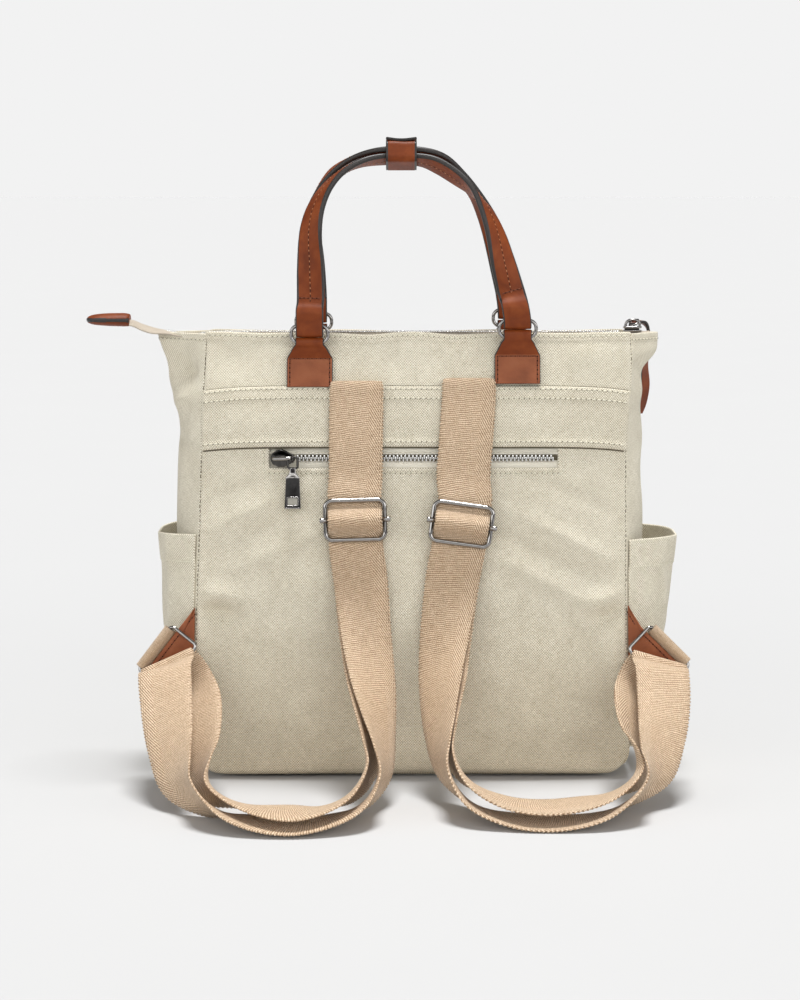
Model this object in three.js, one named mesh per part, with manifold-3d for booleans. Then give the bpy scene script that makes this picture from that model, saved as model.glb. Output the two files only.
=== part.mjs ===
// A canvas tote-backpack standing upright, seen from its back: a wedge-shaped
// canvas body closed by a top zip, a stitched yoke with a zip pocket under it,
// two open side pockets, two shoulder straps of flat webbing that run through
// slider buckles and lower rings, and a pair of leather carry handles.
// Units are millimetres.  +Z is up, the back panel with the straps faces -Y,
// +X is to the right of someone who looks at the back panel.  The origin is
// the middle of the flat underside that the bag stands on.
import * as THREE from 'three';
import Module from 'manifold-3d';

const wasm = await Module();
wasm.setup();

// ---------------------------------------------------------------- dimensions
const GAP = 0.35;                 // clearance kept between touching pieces
const CANVAS = 1.6;               // canvas wall
const CORNER_R = 22;              // round lower corners of the front and back
const TOP_Z = 325.5;              // top hem
const YOKE_TOP = 286.3, YOKE_BOTTOM = 243.6;
const PANEL_SPLIT = 264;          // hidden join of the back panels behind the yoke
const SLOT = { x0: -104.5, x1: 107, z0: 228, z1: 246 };   // zip pocket mouth
const CHAIN_Z = 235.6, CHAIN_H = 5.6;                     // zip chain in the mouth
const WEB_W = 38, WEB_T = 2;      // shoulder webbing
const HANDLE_W = 20, HANDLE_T = 4;
const BUCKLE = { w: 43, h: 28.5, wire: 3, bar: 4, barLength: 51 };
const ANCHOR_RING = { long: 40.5, short: 24.6, wire: 2.6, loop: 35.4 };
const HANDLE_RING = { w: 27, h: 12.4, wire: 2.6 };
const LEATHER = 2, LEATHER_LIFT = -1.7;   // leather thickness, its back off the ring's bar

// body sections by height: seam lines of the back panel (xl, xr), half depth at
// the seams, bulge of the back and the front, reach of the side gussets past
// the seams (wl, wr), and how round (2) or pointed (1) the gusset is in plan
const SECTION = [
  { z: 0,     xl: -157, xr: 158,   d: 60,   bb: 0.6, bf: 0.6, wl: 2.5,  wr: 2.5, p: 2 },
  { z: 23,    xl: -158, xr: 160,   d: 60,   bb: 3,   bf: 3.5, wl: 5,    wr: 5,   p: 2 },
  { z: 60,    xl: -159, xr: 159,   d: 58.5, bb: 6,   bf: 7,   wl: 13,   wr: 11,  p: 2 },
  { z: 128,   xl: -158, xr: 157.3, d: 53.5, bb: 6.5, bf: 9,   wl: 18,   wr: 15,  p: 2 },
  { z: 180,   xl: -156, xr: 157,   d: 48,   bb: 6,   bf: 9,   wl: 20,   wr: 16,  p: 2 },
  { z: 240,   xl: -154.5, xr: 157.2, d: 40, bb: 4.5, bf: 7,   wl: 21,   wr: 15.6, p: 1.8 },
  { z: 274,   xl: -154, xr: 159.5, d: 34.3, bb: 3.2, bf: 5,   wl: 23,   wr: 9.8, p: 1.5 },
  { z: 294,   xl: -152.5, xr: 161, d: 30.6, bb: 2.2, bf: 3.6, wl: 30,   wr: 9.6, p: 1.25 },
  { z: 311,   xl: -151.5, xr: 161.5, d: 27, bb: 1.4, bf: 2.6, wl: 35,   wr: 17,  p: 1.12 },
  { z: 326,   xl: -151.5, xr: 160.5, d: 24, bb: 0.8, bf: 2,   wl: 37,   wr: 22, p: 1.05 },
];
// soft dents of the gussets: side, height, place from back (0) to front (1),
// how deep, and how far they spread in height and across
const DENT = [
  { side: -1, z: 303, t: 0.3, deep: 7, dz: 11, dt: 0.2 },
  { side: -1, z: 255, t: 0.6, deep: 3, dz: 22, dt: 0.3 },
  { side: 1,  z: 291, t: 0.35, deep: 4, dz: 10, dt: 0.25 },
  { side: 1,  z: 222, t: 0.6, deep: 3, dz: 20, dt: 0.3 },
];
// side pockets: how far the wall stands out from the seam line, by height
const POCKET = [
  { z: 24,  left: 8.5,  right: 8.5 },
  { z: 60,  left: 19,   right: 19.5 },
  { z: 107, left: 26.5, right: 32 },
  { z: 148, left: 30,   right: 38 },
  { z: 178, left: 33,   right: 41 },
];
const POCKET_TOP = { seamL: 179, cornerL: 177, seamR: 175, cornerR: 175 };

// shoulder straps: centre line and outward face, from the yoke through the
// buckle down to the floor loop, up to the lower ring, round it, and back
// inside the same loop to the buckle.  The buckle and the ring add their own
// rows between these.
const STRAP = {
  left: {
    top: { x: -40.4, z: 287 }, buckle: { x: -41.2, y: -62.4, z: 192.6, lean: 8, turn: 1.5 },
    outer: [
      { x: -37.5, y: -64.6, z: 150, nx: 0, ny: -0.97, nz: 0.22 },
      { x: -32.5, y: -80.5, z: 107.7, nx: 0.38, ny: -0.80, nz: 0.46 },
      { x: -28, y: -98, z: 80.5, nx: 0.55, ny: -0.63, nz: 0.55 },
      { x: -24, y: -119, z: 57, nx: 0.78, ny: -0.38, nz: 0.50 },
      { x: -21, y: -146, z: 34, nx: 0.95, ny: -0.24, nz: 0.18 },
      { x: -27, y: -168, z: 19, nx: 0.86, ny: -0.22, nz: -0.46 },
      { x: -44, y: -188, z: 9.2, nx: 0.46, ny: -0.03, nz: -0.88 },
      { x: -82, y: -200, z: 2.7, nx: 0.0, ny: 0.0, nz: -1 },
      { x: -120, y: -193, z: 7.6, nx: -0.40, ny: -0.03, nz: -0.91 },
      { x: -147, y: -176, z: 15.8, nx: -0.74, ny: -0.42, nz: -0.50 },
      { x: -163, y: -155, z: 27, nx: -0.71, ny: -0.65, nz: 0.20 },
      { x: -170, y: -132, z: 46, nx: -0.52, ny: -0.66, nz: 0.54 },
      { x: -175, y: -106, z: 69, nx: -0.28, ny: -0.66, nz: 0.70 },
      { x: -178, y: -84, z: 87, nx: -0.16, ny: -0.72, nz: 0.67 },
    ],
    inner: [
      { x: -155, y: -92, z: 61, nx: 0.36, ny: 0.56, nz: -0.75 },
      { x: -150.5, y: -128, z: 38, nx: 0.62, ny: 0.50, nz: -0.60 },
      { x: -146, y: -151, z: 23.5, nx: 0.84, ny: 0.47, nz: -0.15 },
      { x: -133, y: -170, z: 17, nx: 0.60, ny: 0.30, nz: 0.72 },
      { x: -108, y: -188, z: 13, nx: 0.24, ny: 0.08, nz: 0.96 },
      { x: -80, y: -196, z: 11.4, nx: 0.0, ny: 0.0, nz: 1 },
      { x: -54, y: -185, z: 14.6, nx: -0.44, ny: 0.10, nz: 0.88 },
      { x: -36, y: -163, z: 23.5, nx: -0.87, ny: 0.22, nz: 0.42 },
      { x: -29.5, y: -137, z: 36.5, nx: -0.95, ny: 0.24, nz: -0.14 },
      { x: -30.7, y: -94.9, z: 77.8, nx: -0.55, ny: 0.63, nz: -0.55 },
      { x: -33.9, y: -77.5, z: 105.9, nx: -0.38, ny: 0.80, nz: -0.46 },
      { x: -37.5, y: -61.5, z: 149.3, nx: 0.00, ny: 0.97, nz: -0.22 },
    ],
  },
  right: {
    top: { x: 41.5, z: 289 }, buckle: { x: 36, y: -62.6, z: 189.6, lean: 8, turn: -8 },
    outer: [
      { x: 29.5, y: -64.8, z: 150, nx: -0.06, ny: -0.97, nz: 0.22 },
      { x: 22.5, y: -81, z: 104, nx: -0.46, ny: -0.76, nz: 0.45 },
      { x: 20, y: -98, z: 79.5, nx: -0.65, ny: -0.59, nz: 0.48 },
      { x: 19.5, y: -119, z: 55, nx: -0.84, ny: -0.40, nz: 0.37 },
      { x: 21.5, y: -140, z: 36, nx: -0.96, ny: -0.24, nz: 0.10 },
      { x: 28, y: -158, z: 22.5, nx: -0.86, ny: -0.20, nz: -0.46 },
      { x: 44, y: -175, z: 9.5, nx: -0.46, ny: -0.10, nz: -0.88 },
      { x: 72, y: -184, z: 2.8, nx: -0.10, ny: 0.0, nz: -0.99 },
      { x: 102, y: -186, z: 2.0, nx: 0.04, ny: 0.0, nz: -1 },
      { x: 131, y: -181, z: 6.4, nx: 0.38, ny: -0.10, nz: -0.92 },
      { x: 157, y: -166, z: 18.5, nx: 0.72, ny: -0.36, nz: -0.58 },
      { x: 169.5, y: -146, z: 32.5, nx: 0.73, ny: -0.60, nz: 0.30 },
      { x: 176, y: -124, z: 51, nx: 0.46, ny: -0.66, nz: 0.60 },
      { x: 179.5, y: -102, z: 70.5, nx: 0.18, ny: -0.68, nz: 0.71 },
      { x: 180, y: -83, z: 88, nx: 0.10, ny: -0.73, nz: 0.67 },
    ],
    inner: [
      { x: 162, y: -90, z: 60, nx: -0.46, ny: 0.58, nz: -0.66 },
      { x: 160.5, y: -113, z: 41.5, nx: -0.74, ny: 0.40, nz: -0.53 },
      { x: 159, y: -133, z: 29, nx: -0.90, ny: 0.34, nz: -0.05 },
      { x: 151, y: -152, z: 22, nx: -0.66, ny: 0.30, nz: 0.68 },
      { x: 129, y: -172, z: 15.5, nx: -0.26, ny: 0.08, nz: 0.96 },
      { x: 95, y: -181, z: 11.4, nx: -0.02, ny: 0.0, nz: 1 },
      { x: 68, y: -177, z: 13, nx: 0.20, ny: 0.02, nz: 0.98 },
      { x: 46, y: -163, z: 20, nx: 0.52, ny: 0.08, nz: 0.84 },
      { x: 32, y: -146, z: 29.5, nx: 0.88, ny: 0.18, nz: 0.40 },
      { x: 26, y: -125, z: 45.5, nx: 0.96, ny: 0.24, nz: -0.10 },
      { x: 23.6, y: -94.7, z: 76.8, nx: 0.65, ny: 0.59, nz: -0.48 },
      { x: 24.7, y: -77.3, z: 101.8, nx: 0.46, ny: 0.76, nz: -0.45 },
      { x: 29.7, y: -60.9, z: 149.1, nx: 0.06, ny: 0.97, nz: -0.22 },
    ],
  },
};
// lower strap anchors: middle of the ring's outer bar, the bar's direction and
// the direction from it towards the side seam
const ANCHOR = {
  left:  { at: [-187.7, -58.5, 97.8], apex: 126.6, along: [-0.602, -0.10, -0.79], inward: [0.80, 0.05, -0.60] },
  right: { at: [188.5, -58.5, 99.7], apex: 128.4, along: [0.711, -0.10, -0.70], inward: [-0.70, 0.03, -0.70] },
};
const RING_LIFT = 22;             // degrees the lower ring stands off its leather
// turn of the strap through the lower ring: its edge at the ring's inner bar
// (near) and at the outer bar (far), as inward, along and outward places
const RING_TURN = [
  { near: [24.5, -13.5, 14], far: [4.5, 20.5, 9.6] },
  { near: [22.6, -16.2, 12.6], far: [1.2, 18.2, 7.4] },
  { near: [20, -16, 9.6], far: [2.4, 17.6, 5.2] },
  { near: [22.4, -15.8, 6.2], far: [9, 17.6, 3.6] },
  { near: [30, -15, 5.8], far: [19, 19.5, 3.6] },
  { near: [41, -11.5, 10], far: [31, 24, 7] },
];
// route of the strap over the centre bar of the buckle, and of its end behind
const BUCKLE_OVER = [
  { up: 19, out: -3.2, tip: 0 }, { up: 14.3, out: -3.2, tip: 0 }, { up: 9.6, out: -1.7, tip: 0.4 },
  { up: 5.6, out: 2.6, tip: 1 }, { up: 2.8, out: 5.9, tip: 0.7 }, { up: 0, out: 6.9, tip: 0 },
  { up: -2.8, out: 5.9, tip: -0.7 }, { up: -5.6, out: 2.6, tip: -1 }, { up: -9.6, out: -1.7, tip: -0.4 },
  { up: -14.3, out: -3.2, tip: 0 }, { up: -19, out: -3.4, tip: 0 },
];
const BUCKLE_BACK = [
  { up: -19, out: -5.9 }, { up: -14.3, out: -5.7 }, { up: -8.2, out: -4.5 }, { up: -3, out: -1.4 }, { up: 0.6, out: -0.2 },
];

// carry handles: centre line and the face that is on top at the grip
const HANDLE = {
  back: [
    { x: -74, y: -30.5, z: 348, nx: 0, ny: -1, nz: 0.04 },
    { x: -74, y: -27.5, z: 373, nx: -0.18, ny: -0.98, nz: 0.05 },
    { x: -73.7, y: -24, z: 399.7, nx: -0.60, ny: -0.78, nz: 0.14 },
    { x: -70.4, y: -20, z: 415.6, nx: -0.72, ny: -0.56, nz: 0.40 },
    { x: -63, y: -15.5, z: 430, nx: -0.73, ny: -0.30, nz: 0.61 },
    { x: -52.5, y: -11.5, z: 441.1, nx: -0.58, ny: -0.08, nz: 0.80 },
    { x: -38.2, y: -7.5, z: 448.6, nx: -0.34, ny: 0.12, nz: 0.93 },
    { x: -22, y: -3, z: 451.6, nx: -0.06, ny: 0.28, nz: 0.96 },
    { x: 6, y: -3, z: 451.2, nx: 0.08, ny: 0.34, nz: 0.94 },
    { x: 18, y: -4.5, z: 447.4, nx: 0.42, ny: 0.46, nz: 0.78 },
    { x: 32.7, y: -8.5, z: 438.5, nx: 0.60, ny: 0.42, nz: 0.68 },
    { x: 44.7, y: -13.5, z: 428.6, nx: 0.76, ny: 0.14, nz: 0.63 },
    { x: 53.1, y: -19, z: 416.6, nx: 0.80, ny: -0.28, nz: 0.53 },
    { x: 59.6, y: -23.5, z: 401.5, nx: 0.74, ny: -0.58, nz: 0.33 },
    { x: 67, y: -28, z: 374.5, nx: 0.38, ny: -0.91, nz: 0.17 },
    { x: 73, y: -29.5, z: 353.4, nx: 0.02, ny: -1, nz: 0.05 },
  ],
  front: [
    { x: -74, y: 30.5, z: 354, nx: 0, ny: 1, nz: 0.04 },
    { x: -75.5, y: 28, z: 378, nx: -0.20, ny: 0.97, nz: 0.05 },
    { x: -76, y: 23, z: 402, nx: -0.74, ny: 0.64, nz: 0.20 },
    { x: -71.5, y: 16, z: 423, nx: -0.86, ny: 0.10, nz: 0.50 },
    { x: -61.5, y: 10.5, z: 440.2, nx: -0.70, ny: -0.14, nz: 0.70 },
    { x: -43.8, y: 5.2, z: 452, nx: -0.42, ny: 0.02, nz: 0.90 },
    { x: -23, y: -1.6, z: 456.1, nx: -0.08, ny: 0.29, nz: 0.96 },
    { x: 7, y: -1.4, z: 455.8, nx: 0.08, ny: 0.34, nz: 0.94 },
    { x: 20.5, y: 0.6, z: 451.7, nx: 0.42, ny: 0.42, nz: 0.80 },
    { x: 35, y: 8, z: 440, nx: 0.62, ny: 0.36, nz: 0.70 },
    { x: 47.4, y: 15, z: 425.8, nx: 0.78, ny: 0.36, nz: 0.50 },
    { x: 55.6, y: 20, z: 411, nx: 0.76, ny: 0.58, nz: 0.26 },
    { x: 62.2, y: 24, z: 395, nx: 0.58, ny: 0.80, nz: 0.10 },
    { x: 68.4, y: 28.2, z: 374, nx: 0.20, ny: 0.97, nz: 0.05 },
    { x: 72.4, y: 30.5, z: 357.5, nx: 0, ny: 1, nz: 0.04 },
  ],
};
// handle rings: centre of each ring on its panel, how far the handle's loop drops below
// the upper bar, how far the tab's loop rises over the lower bar, and the handle end's lean
const HANDLE_RINGS = [
  { name: 'back_left', x: -74.6, z: 325.2, face: -1, drop: 4.4, rise: 0, lean: 0 },
  { name: 'back_right', x: 77, z: 329, face: -1, drop: 2.3, rise: 2, lean: -0.18 },
  { name: 'front_left', x: -74, z: 330.6, face: 1, drop: 3, rise: 1, lean: 0 },
  { name: 'front_right', x: 75.4, z: 333.4, face: 1, drop: 3, rise: 1, lean: -0.15 },
];
const KEEPER = { x0: -19, x1: 3.6, tilt: 18, y: -2.1, z: 454.3, wall: 2.1, flap: 15 };

// ------------------------------------------------------------------ helpers
const V = (x, y, z) => new THREE.Vector3(x, y, z);
const rad = (deg) => deg * Math.PI / 180;
const COLOUR = {
  canvas: 0xd3ccb6, webbing: 0xd8b993, leather: 0x94502c, metal: 0x8d8c8a, tape: 0xc9c3b0, chain: 0xc4c2bd,
};
const FINISH = {
  canvas: [0.9, 0], webbing: [0.8, 0], leather: [0.5, 0], metal: [0.2, 1], tape: [0.85, 0], chain: [0.35, 0.8],
};
const bag = new THREE.Group();

function add(name, geometry, look) {
  const [roughness, metalness] = FINISH[look];
  const mesh = new THREE.Mesh(geometry,
    new THREE.MeshStandardMaterial({ color: COLOUR[look], roughness, metalness }));
  mesh.name = name;
  bag.add(mesh);
  return mesh;
}

// closed geometry from shared corners and triangles, turned so it faces out
function closed(points, tris) {
  let volume = 0;
  for (const [a, b, c] of tris) volume += points[a].dot(V().crossVectors(points[b], points[c]));
  const g = new THREE.BufferGeometry();
  g.setAttribute('position', new THREE.Float32BufferAttribute(points.flatMap((p) => [p.x, p.y, p.z]), 3));
  g.setIndex(tris.flatMap(([a, b, c]) => (volume < 0 ? [a, c, b] : [a, b, c])));
  g.computeVertexNormals();
  return g;
}

// value of one column of a table at a height, on a smooth curve through its rows
function at(rows, key, z, by = 'z') {
  const last = rows.length - 1;
  if (z <= rows[0][by]) return rows[0][key];
  if (z >= rows[last][by]) return rows[last][key];
  let i = 0;
  while (z > rows[i + 1][by]) i += 1;
  const slope = (k) => (k <= 0 || k >= last ? 0
    : (rows[k + 1][key] - rows[k - 1][key]) / (rows[k + 1][by] - rows[k - 1][by]));
  const h = rows[i + 1][by] - rows[i][by], s = (z - rows[i][by]) / h, s2 = s * s, s3 = s2 * s;
  return (2 * s3 - 3 * s2 + 1) * rows[i][key] + (s3 - 2 * s2 + s) * h * slope(i)
    + (3 * s2 - 2 * s3) * rows[i + 1][key] + (s3 - s2) * h * slope(i + 1);
}

// wall between two grids of points that share their layout
function wall(outer, inner) {
  const nu = outer.length, nv = outer[0].length, points = [...outer.flat(), ...inner.flat()], tris = [];
  const id = (side, i, j) => side * nu * nv + i * nv + j;
  const quad = (a, b, c, d) => tris.push([a, b, c], [a, c, d]);
  for (let i = 0; i + 1 < nu; i += 1) {
    for (let j = 0; j + 1 < nv; j += 1) {
      quad(id(0, i, j), id(0, i + 1, j), id(0, i + 1, j + 1), id(0, i, j + 1));
      quad(id(1, i, j), id(1, i, j + 1), id(1, i + 1, j + 1), id(1, i + 1, j));
    }
    quad(id(0, i, 0), id(1, i, 0), id(1, i + 1, 0), id(0, i + 1, 0));
    quad(id(0, i, nv - 1), id(0, i + 1, nv - 1), id(1, i + 1, nv - 1), id(1, i, nv - 1));
  }
  for (let j = 0; j + 1 < nv; j += 1) {
    quad(id(0, 0, j), id(0, 0, j + 1), id(1, 0, j + 1), id(1, 0, j));
    quad(id(0, nu - 1, j), id(1, nu - 1, j), id(1, nu - 1, j + 1), id(0, nu - 1, j + 1));
  }
  return closed(points, tris);
}
const span = (n, a, b) => Array.from({ length: n + 1 }, (_, i) => a + (b - a) * i / n);

// strip of flat material: each row gives its centre and face direction, or its
// two edges (p, q); the edges run on smooth curves through all rows
function strip(rows, step, width, thick) {
  const mid = (r) => (r.p ? r.p.clone().add(r.q).multiplyScalar(0.5) : V(r.x, r.y, r.z));
  const edges = rows.map((r, i) => {
    if (r.p) return [r.p, r.q];
    const along = V().subVectors(mid(rows[Math.min(rows.length - 1, i + 1)]), mid(rows[Math.max(0, i - 1)]));
    const across = V().crossVectors(along, V(r.nx, r.ny, r.nz)).normalize().multiplyScalar((r.w ?? width) / 2);
    return [mid(r).sub(across), mid(r).add(across)];
  });
  const [left, right] = [0, 1].map((k) => new THREE.CatmullRomCurve3(edges.map((e) => e[k]), false, 'centripetal'));
  const line = [];
  for (let i = 0; i + 1 < rows.length; i += 1) {
    const n = Math.max(1, Math.round(mid(rows[i]).distanceTo(mid(rows[i + 1])) / step));
    const t = [rows[i].t ?? thick, rows[i + 1].t ?? thick];
    for (let k = 0; k < n + (i + 2 === rows.length ? 1 : 0); k += 1) {
      const u = Math.min(1, (i + k / n) / (rows.length - 1));
      line.push({ p: left.getPoint(u), q: right.getPoint(u), t: t[0] + (t[1] - t[0]) * k / n });
    }
  }
  return sweep(line.map((r, i) => {
    const a = line[Math.max(0, i - 1)], b = line[Math.min(line.length - 1, i + 1)];
    const along = mid(b).sub(mid(a)), out = V().subVectors(r.q, r.p).cross(along).normalize();
    const corner = (e, k) => e.clone().addScaledVector(out, k * r.t / 2);
    return [corner(r.p, -1), corner(r.q, -1), corner(r.q, 1), corner(r.p, 1)];
  }), false);
}

// closed skin over a row of sections with equal corner counts
function sweep(sections, ring) {
  const m = sections[0].length, points = sections.flat(), tris = [], n = sections.length;
  for (let i = 0; i < (ring ? n : n - 1); i += 1) {
    for (let j = 0; j < m; j += 1) {
      const k = (i + 1) % n, a = i * m + j, b = i * m + (j + 1) % m, c = k * m + (j + 1) % m, d = k * m + j;
      // opposite broad faces split along the same diagonal, so a twisted strip keeps its thickness
      if (m === 4 && j === 2) tris.push([a, b, d], [b, c, d]);
      else tris.push([a, b, c], [a, c, d]);
    }
  }
  if (!ring) {
    for (let j = 1; j + 1 < m; j += 1) {
      tris.push([0, j + 1, j]);
      tris.push([(n - 1) * m, (n - 1) * m + j, (n - 1) * m + j + 1]);
    }
  }
  return closed(points, tris);
}

// round wire along a closed or open run of points
function wire(path, radius, sides, ring) {
  const n = path.length;
  const sections = path.map((p, i) => {
    const a = path[ring ? (i + n - 1) % n : Math.max(0, i - 1)], b = path[ring ? (i + 1) % n : Math.min(n - 1, i + 1)];
    const along = V().subVectors(b, a).normalize();
    const side = V().crossVectors(along, wire.plane).normalize();
    const up = V().crossVectors(side, along).normalize();
    return span(sides - 1, 0, sides - 1).map((k) => {
      const q = 2 * Math.PI * k / sides;
      return p.clone().addScaledVector(side, radius * Math.cos(q)).addScaledVector(up, radius * Math.sin(q));
    });
  });
  return sweep(sections, ring);
}
wire.plane = V(0, 1, 0);

// points of a rounded rectangle in a plane
function roundedLoop(centre, ex, ey, w, h, r, steps) {
  const out = [];
  for (const [sx, sy, q0] of [[1, 1, 0], [-1, 1, 90], [-1, -1, 180], [1, -1, 270]]) {
    for (let k = 0; k <= steps; k += 1) {
      const q = rad(q0 + 90 * k / steps);
      out.push(centre.clone().addScaledVector(ex, sx * (w / 2 - r) + r * Math.cos(q))
        .addScaledVector(ey, sy * (h / 2 - r) + r * Math.sin(q)));
    }
  }
  return out;
}

// flat plate: outline in a plane, with a thickness along the plane's face
function plate(outline, thick, hole) {
  const turned = (list) => {
    const points = list.map(([x, y]) => new THREE.Vector2(x, y));
    return THREE.ShapeUtils.area(points) < 0 ? points.reverse() : points;
  };
  const shape = new THREE.Shape(turned(outline));
  if (hole) shape.holes.push(new THREE.Path(turned(hole)));
  return new THREE.ExtrudeGeometry(shape, { depth: thick, bevelEnabled: false });
}

// geometry moved into a frame given by its origin and three directions
function placed(geometry, o, ex, ey, ez) {
  const m = new THREE.Matrix4().makeBasis(ex, ey, ez).setPosition(o);
  return geometry.applyMatrix4(m);
}

// joining and cutting of closed pieces
function toSolid(geometry) {
  const p = geometry.attributes.position, index = geometry.index, verts = [], ids = new Map(), tri = [];
  const use = (i) => {
    const key = [p.getX(i), p.getY(i), p.getZ(i)].map((q) => Math.round(q * 1e4)).join();
    if (!ids.has(key)) { ids.set(key, verts.length / 3); verts.push(p.getX(i), p.getY(i), p.getZ(i)); }
    return ids.get(key);
  };
  const count = index ? index.count : p.count;
  for (let i = 0; i < count; i += 3) {
    const t = [0, 1, 2].map((k) => use(index ? index.getX(i + k) : i + k));
    if (t[0] !== t[1] && t[1] !== t[2] && t[0] !== t[2]) tri.push(...t);
  }
  return new wasm.Manifold(new wasm.Mesh({
    numProp: 3, vertProperties: new Float32Array(verts), triVerts: new Uint32Array(tri),
  }));
}
function fromSolid(solid) {
  const mesh = solid.getMesh(), g = new THREE.BufferGeometry(), n = mesh.numProp;
  const pos = [];
  for (let i = 0; i < mesh.vertProperties.length; i += n) pos.push(...mesh.vertProperties.slice(i, i + 3));
  g.setAttribute('position', new THREE.Float32BufferAttribute(pos, 3));
  g.setIndex(Array.from(mesh.triVerts));
  g.computeVertexNormals();
  return g;
}
const box = (x0, x1, y0, y1, z0, z1) => new THREE.BoxGeometry(x1 - x0, y1 - y0, z1 - z0)
  .translate((x0 + x1) / 2, (y0 + y1) / 2, (z0 + z1) / 2);

// --------------------------------------------------------------- canvas body
// seam lines drawn in round the lower corners
function seam(side, z) {
  const x = at(SECTION, side < 0 ? 'xl' : 'xr', z);
  const cut = z < CORNER_R ? CORNER_R - Math.sqrt(CORNER_R ** 2 - (CORNER_R - z) ** 2) : 0;
  return x - side * cut;
}
// y of the outside of the back (face -1) or the front (face 1)
function faceY(face, x, z) {
  const xl = at(SECTION, 'xl', z), xr = at(SECTION, 'xr', z);
  const s = Math.min(1, Math.abs((2 * x - xl - xr) / (xr - xl)));
  return face * (at(SECTION, 'd', z) + at(SECTION, face < 0 ? 'bb' : 'bf', z) * (1 - s ** 2.4));
}
// wall that follows the back or front between two heights, off its surface
function facePanel(face, z0, z1, nx, nz, off, thick, edge = 0, top = null) {
  const grid = (depth) => span(nx, 0, 1).map((u) => span(nz, 0, 1).map((v) => {
    const hi = top ? top(u) : z1, z = z0 + (hi - z0) * v;
    const x = seam(-1, z) + edge + (seam(1, z) - seam(-1, z) - 2 * edge) * u;
    return V(x, faceY(face, x, z) + face * (off - depth), z);
  }));
  return wall(grid(0), grid(thick));
}

add('upper_back_panel', facePanel(-1, PANEL_SPLIT + GAP, TOP_Z, 14, 4, 0, CANVAS), 'canvas');
add('back_yoke', facePanel(-1, YOKE_BOTTOM, YOKE_TOP, 14, 3, CANVAS + GAP, CANVAS, 0.6), 'canvas');

// lower back panel with the mouth of the zip pocket
function roundedPanel(face, z1, nx, zs) {
  const grid = (depth) => span(nx, 0, 1).map((u) => zs.map((z) => {
    const x = seam(-1, z) + (seam(1, z) - seam(-1, z)) * u;
    return V(x, faceY(face, x, z) - face * depth, z);
  }));
  return wall(grid(0), grid(CANVAS));
}
const lowHeights = [0.4, 2.5, 7, 14, CORNER_R, 45, 80, 120, 160, 195, 222, 250, PANEL_SPLIT];
const lower = toSolid(roundedPanel(-1, PANEL_SPLIT, 14, lowHeights))
  .subtract(toSolid(box(SLOT.x0, SLOT.x1, -80, 0, SLOT.z0, SLOT.z1)));
add('lower_back_panel', fromSolid(lower), 'canvas');
add('front_panel', roundedPanel(1, TOP_Z, 12, [0.4, 2.5, 7, 14, CORNER_R, 45, 85, 125, 165, 205, 240, 268, 290, 308, TOP_Z]), 'canvas');

// side gussets: pointed at the top where the zip ends push them out
function gussetX(side, t, z) {
  const s = Math.abs(2 * t - 1);
  let reach = at(SECTION, side < 0 ? 'wl' : 'wr', z) * (1 - s ** at(SECTION, 'p', z));
  for (const d of DENT) {
    if (d.side === side) reach -= d.deep * Math.exp(-(((z - d.z) / d.dz) ** 2) - (((t - d.t) / d.dt) ** 2)) * (1 - s ** 4);
  }
  return at(SECTION, side < 0 ? 'xl' : 'xr', z) + side * Math.max(0, reach);
}
function gussetY(t, z) {
  const d = at(SECTION, 'd', z) - CANVAS - GAP;
  return d * (2 * t - 1);
}
function gusset(side) {
  const heights = [CORNER_R + GAP, 45, 80, 120, 160, 195, 225, 250, 268, 282, 293, 303, 313, TOP_Z - 1.7];
  const grid = (depth) => span(10, 0, 1).map((t) => heights.map((z) => V(gussetX(side, t, z) - side * depth, gussetY(t, z), z)));
  return wall(grid(0), grid(CANVAS));
}
add('gusset_left', gusset(-1), 'canvas');
add('gusset_right', gusset(1), 'canvas');

// base: flat underside with round ends that turn up into the gussets
{
  const half = at(SECTION, 'd', 0) - CANVAS - GAP, profile = [];
  const arc = (cx, q0, q1) => span(5, q0, q1).forEach((q) => profile.push([cx, rad(q)]));
  const xl = at(SECTION, 'xl', CORNER_R) + CORNER_R, xr = at(SECTION, 'xr', CORNER_R) - CORNER_R;
  arc(xl, 180, 270); arc(xr, 270, 360);
  const grid = (depth) => profile.map(([cx, q]) => [-1, -0.5, 0, 0.5, 1].map((y) => V(
    cx + (CORNER_R - depth) * Math.cos(q), y * half, CORNER_R + (CORNER_R - depth) * Math.sin(q))));
  add('base_panel', wall(grid(0), grid(CANVAS)), 'canvas');
}

// side pockets: boxy walls that stand off the gussets, open at the top
function pocket(side) {
  const key = side < 0 ? 'left' : 'right';
  const seamTop = side < 0 ? POCKET_TOP.seamL : POCKET_TOP.seamR, cornerTop = side < 0 ? POCKET_TOP.cornerL : POCKET_TOP.cornerR;
  const levels = [0, 0.2, 0.42, 0.62, 0.8, 1];
  const grid = (depth) => span(12, 0, 1).map((t) => levels.map((v) => {
    const s = Math.abs(2 * t - 1), top = cornerTop + (seamTop - cornerTop) * s ** 3, z = 24 + (top - 24) * v;
    const foot = GAP + CANVAS + 0.3, stand = at(POCKET, key, z) - foot;
    const reach = Math.max(foot + stand * (1 - s ** 3.2), side * (gussetX(side, t, z) - at(SECTION, side < 0 ? 'xl' : 'xr', z)) + foot + 0.2);
    return V(at(SECTION, side < 0 ? 'xl' : 'xr', z) + side * (reach - depth), gussetY(t, z) * 0.985, z);
  }));
  return wall(grid(0), grid(CANVAS));
}
add('side_pocket_left', pocket(-1), 'canvas');
add('side_pocket_right', pocket(1), 'canvas');

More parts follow.
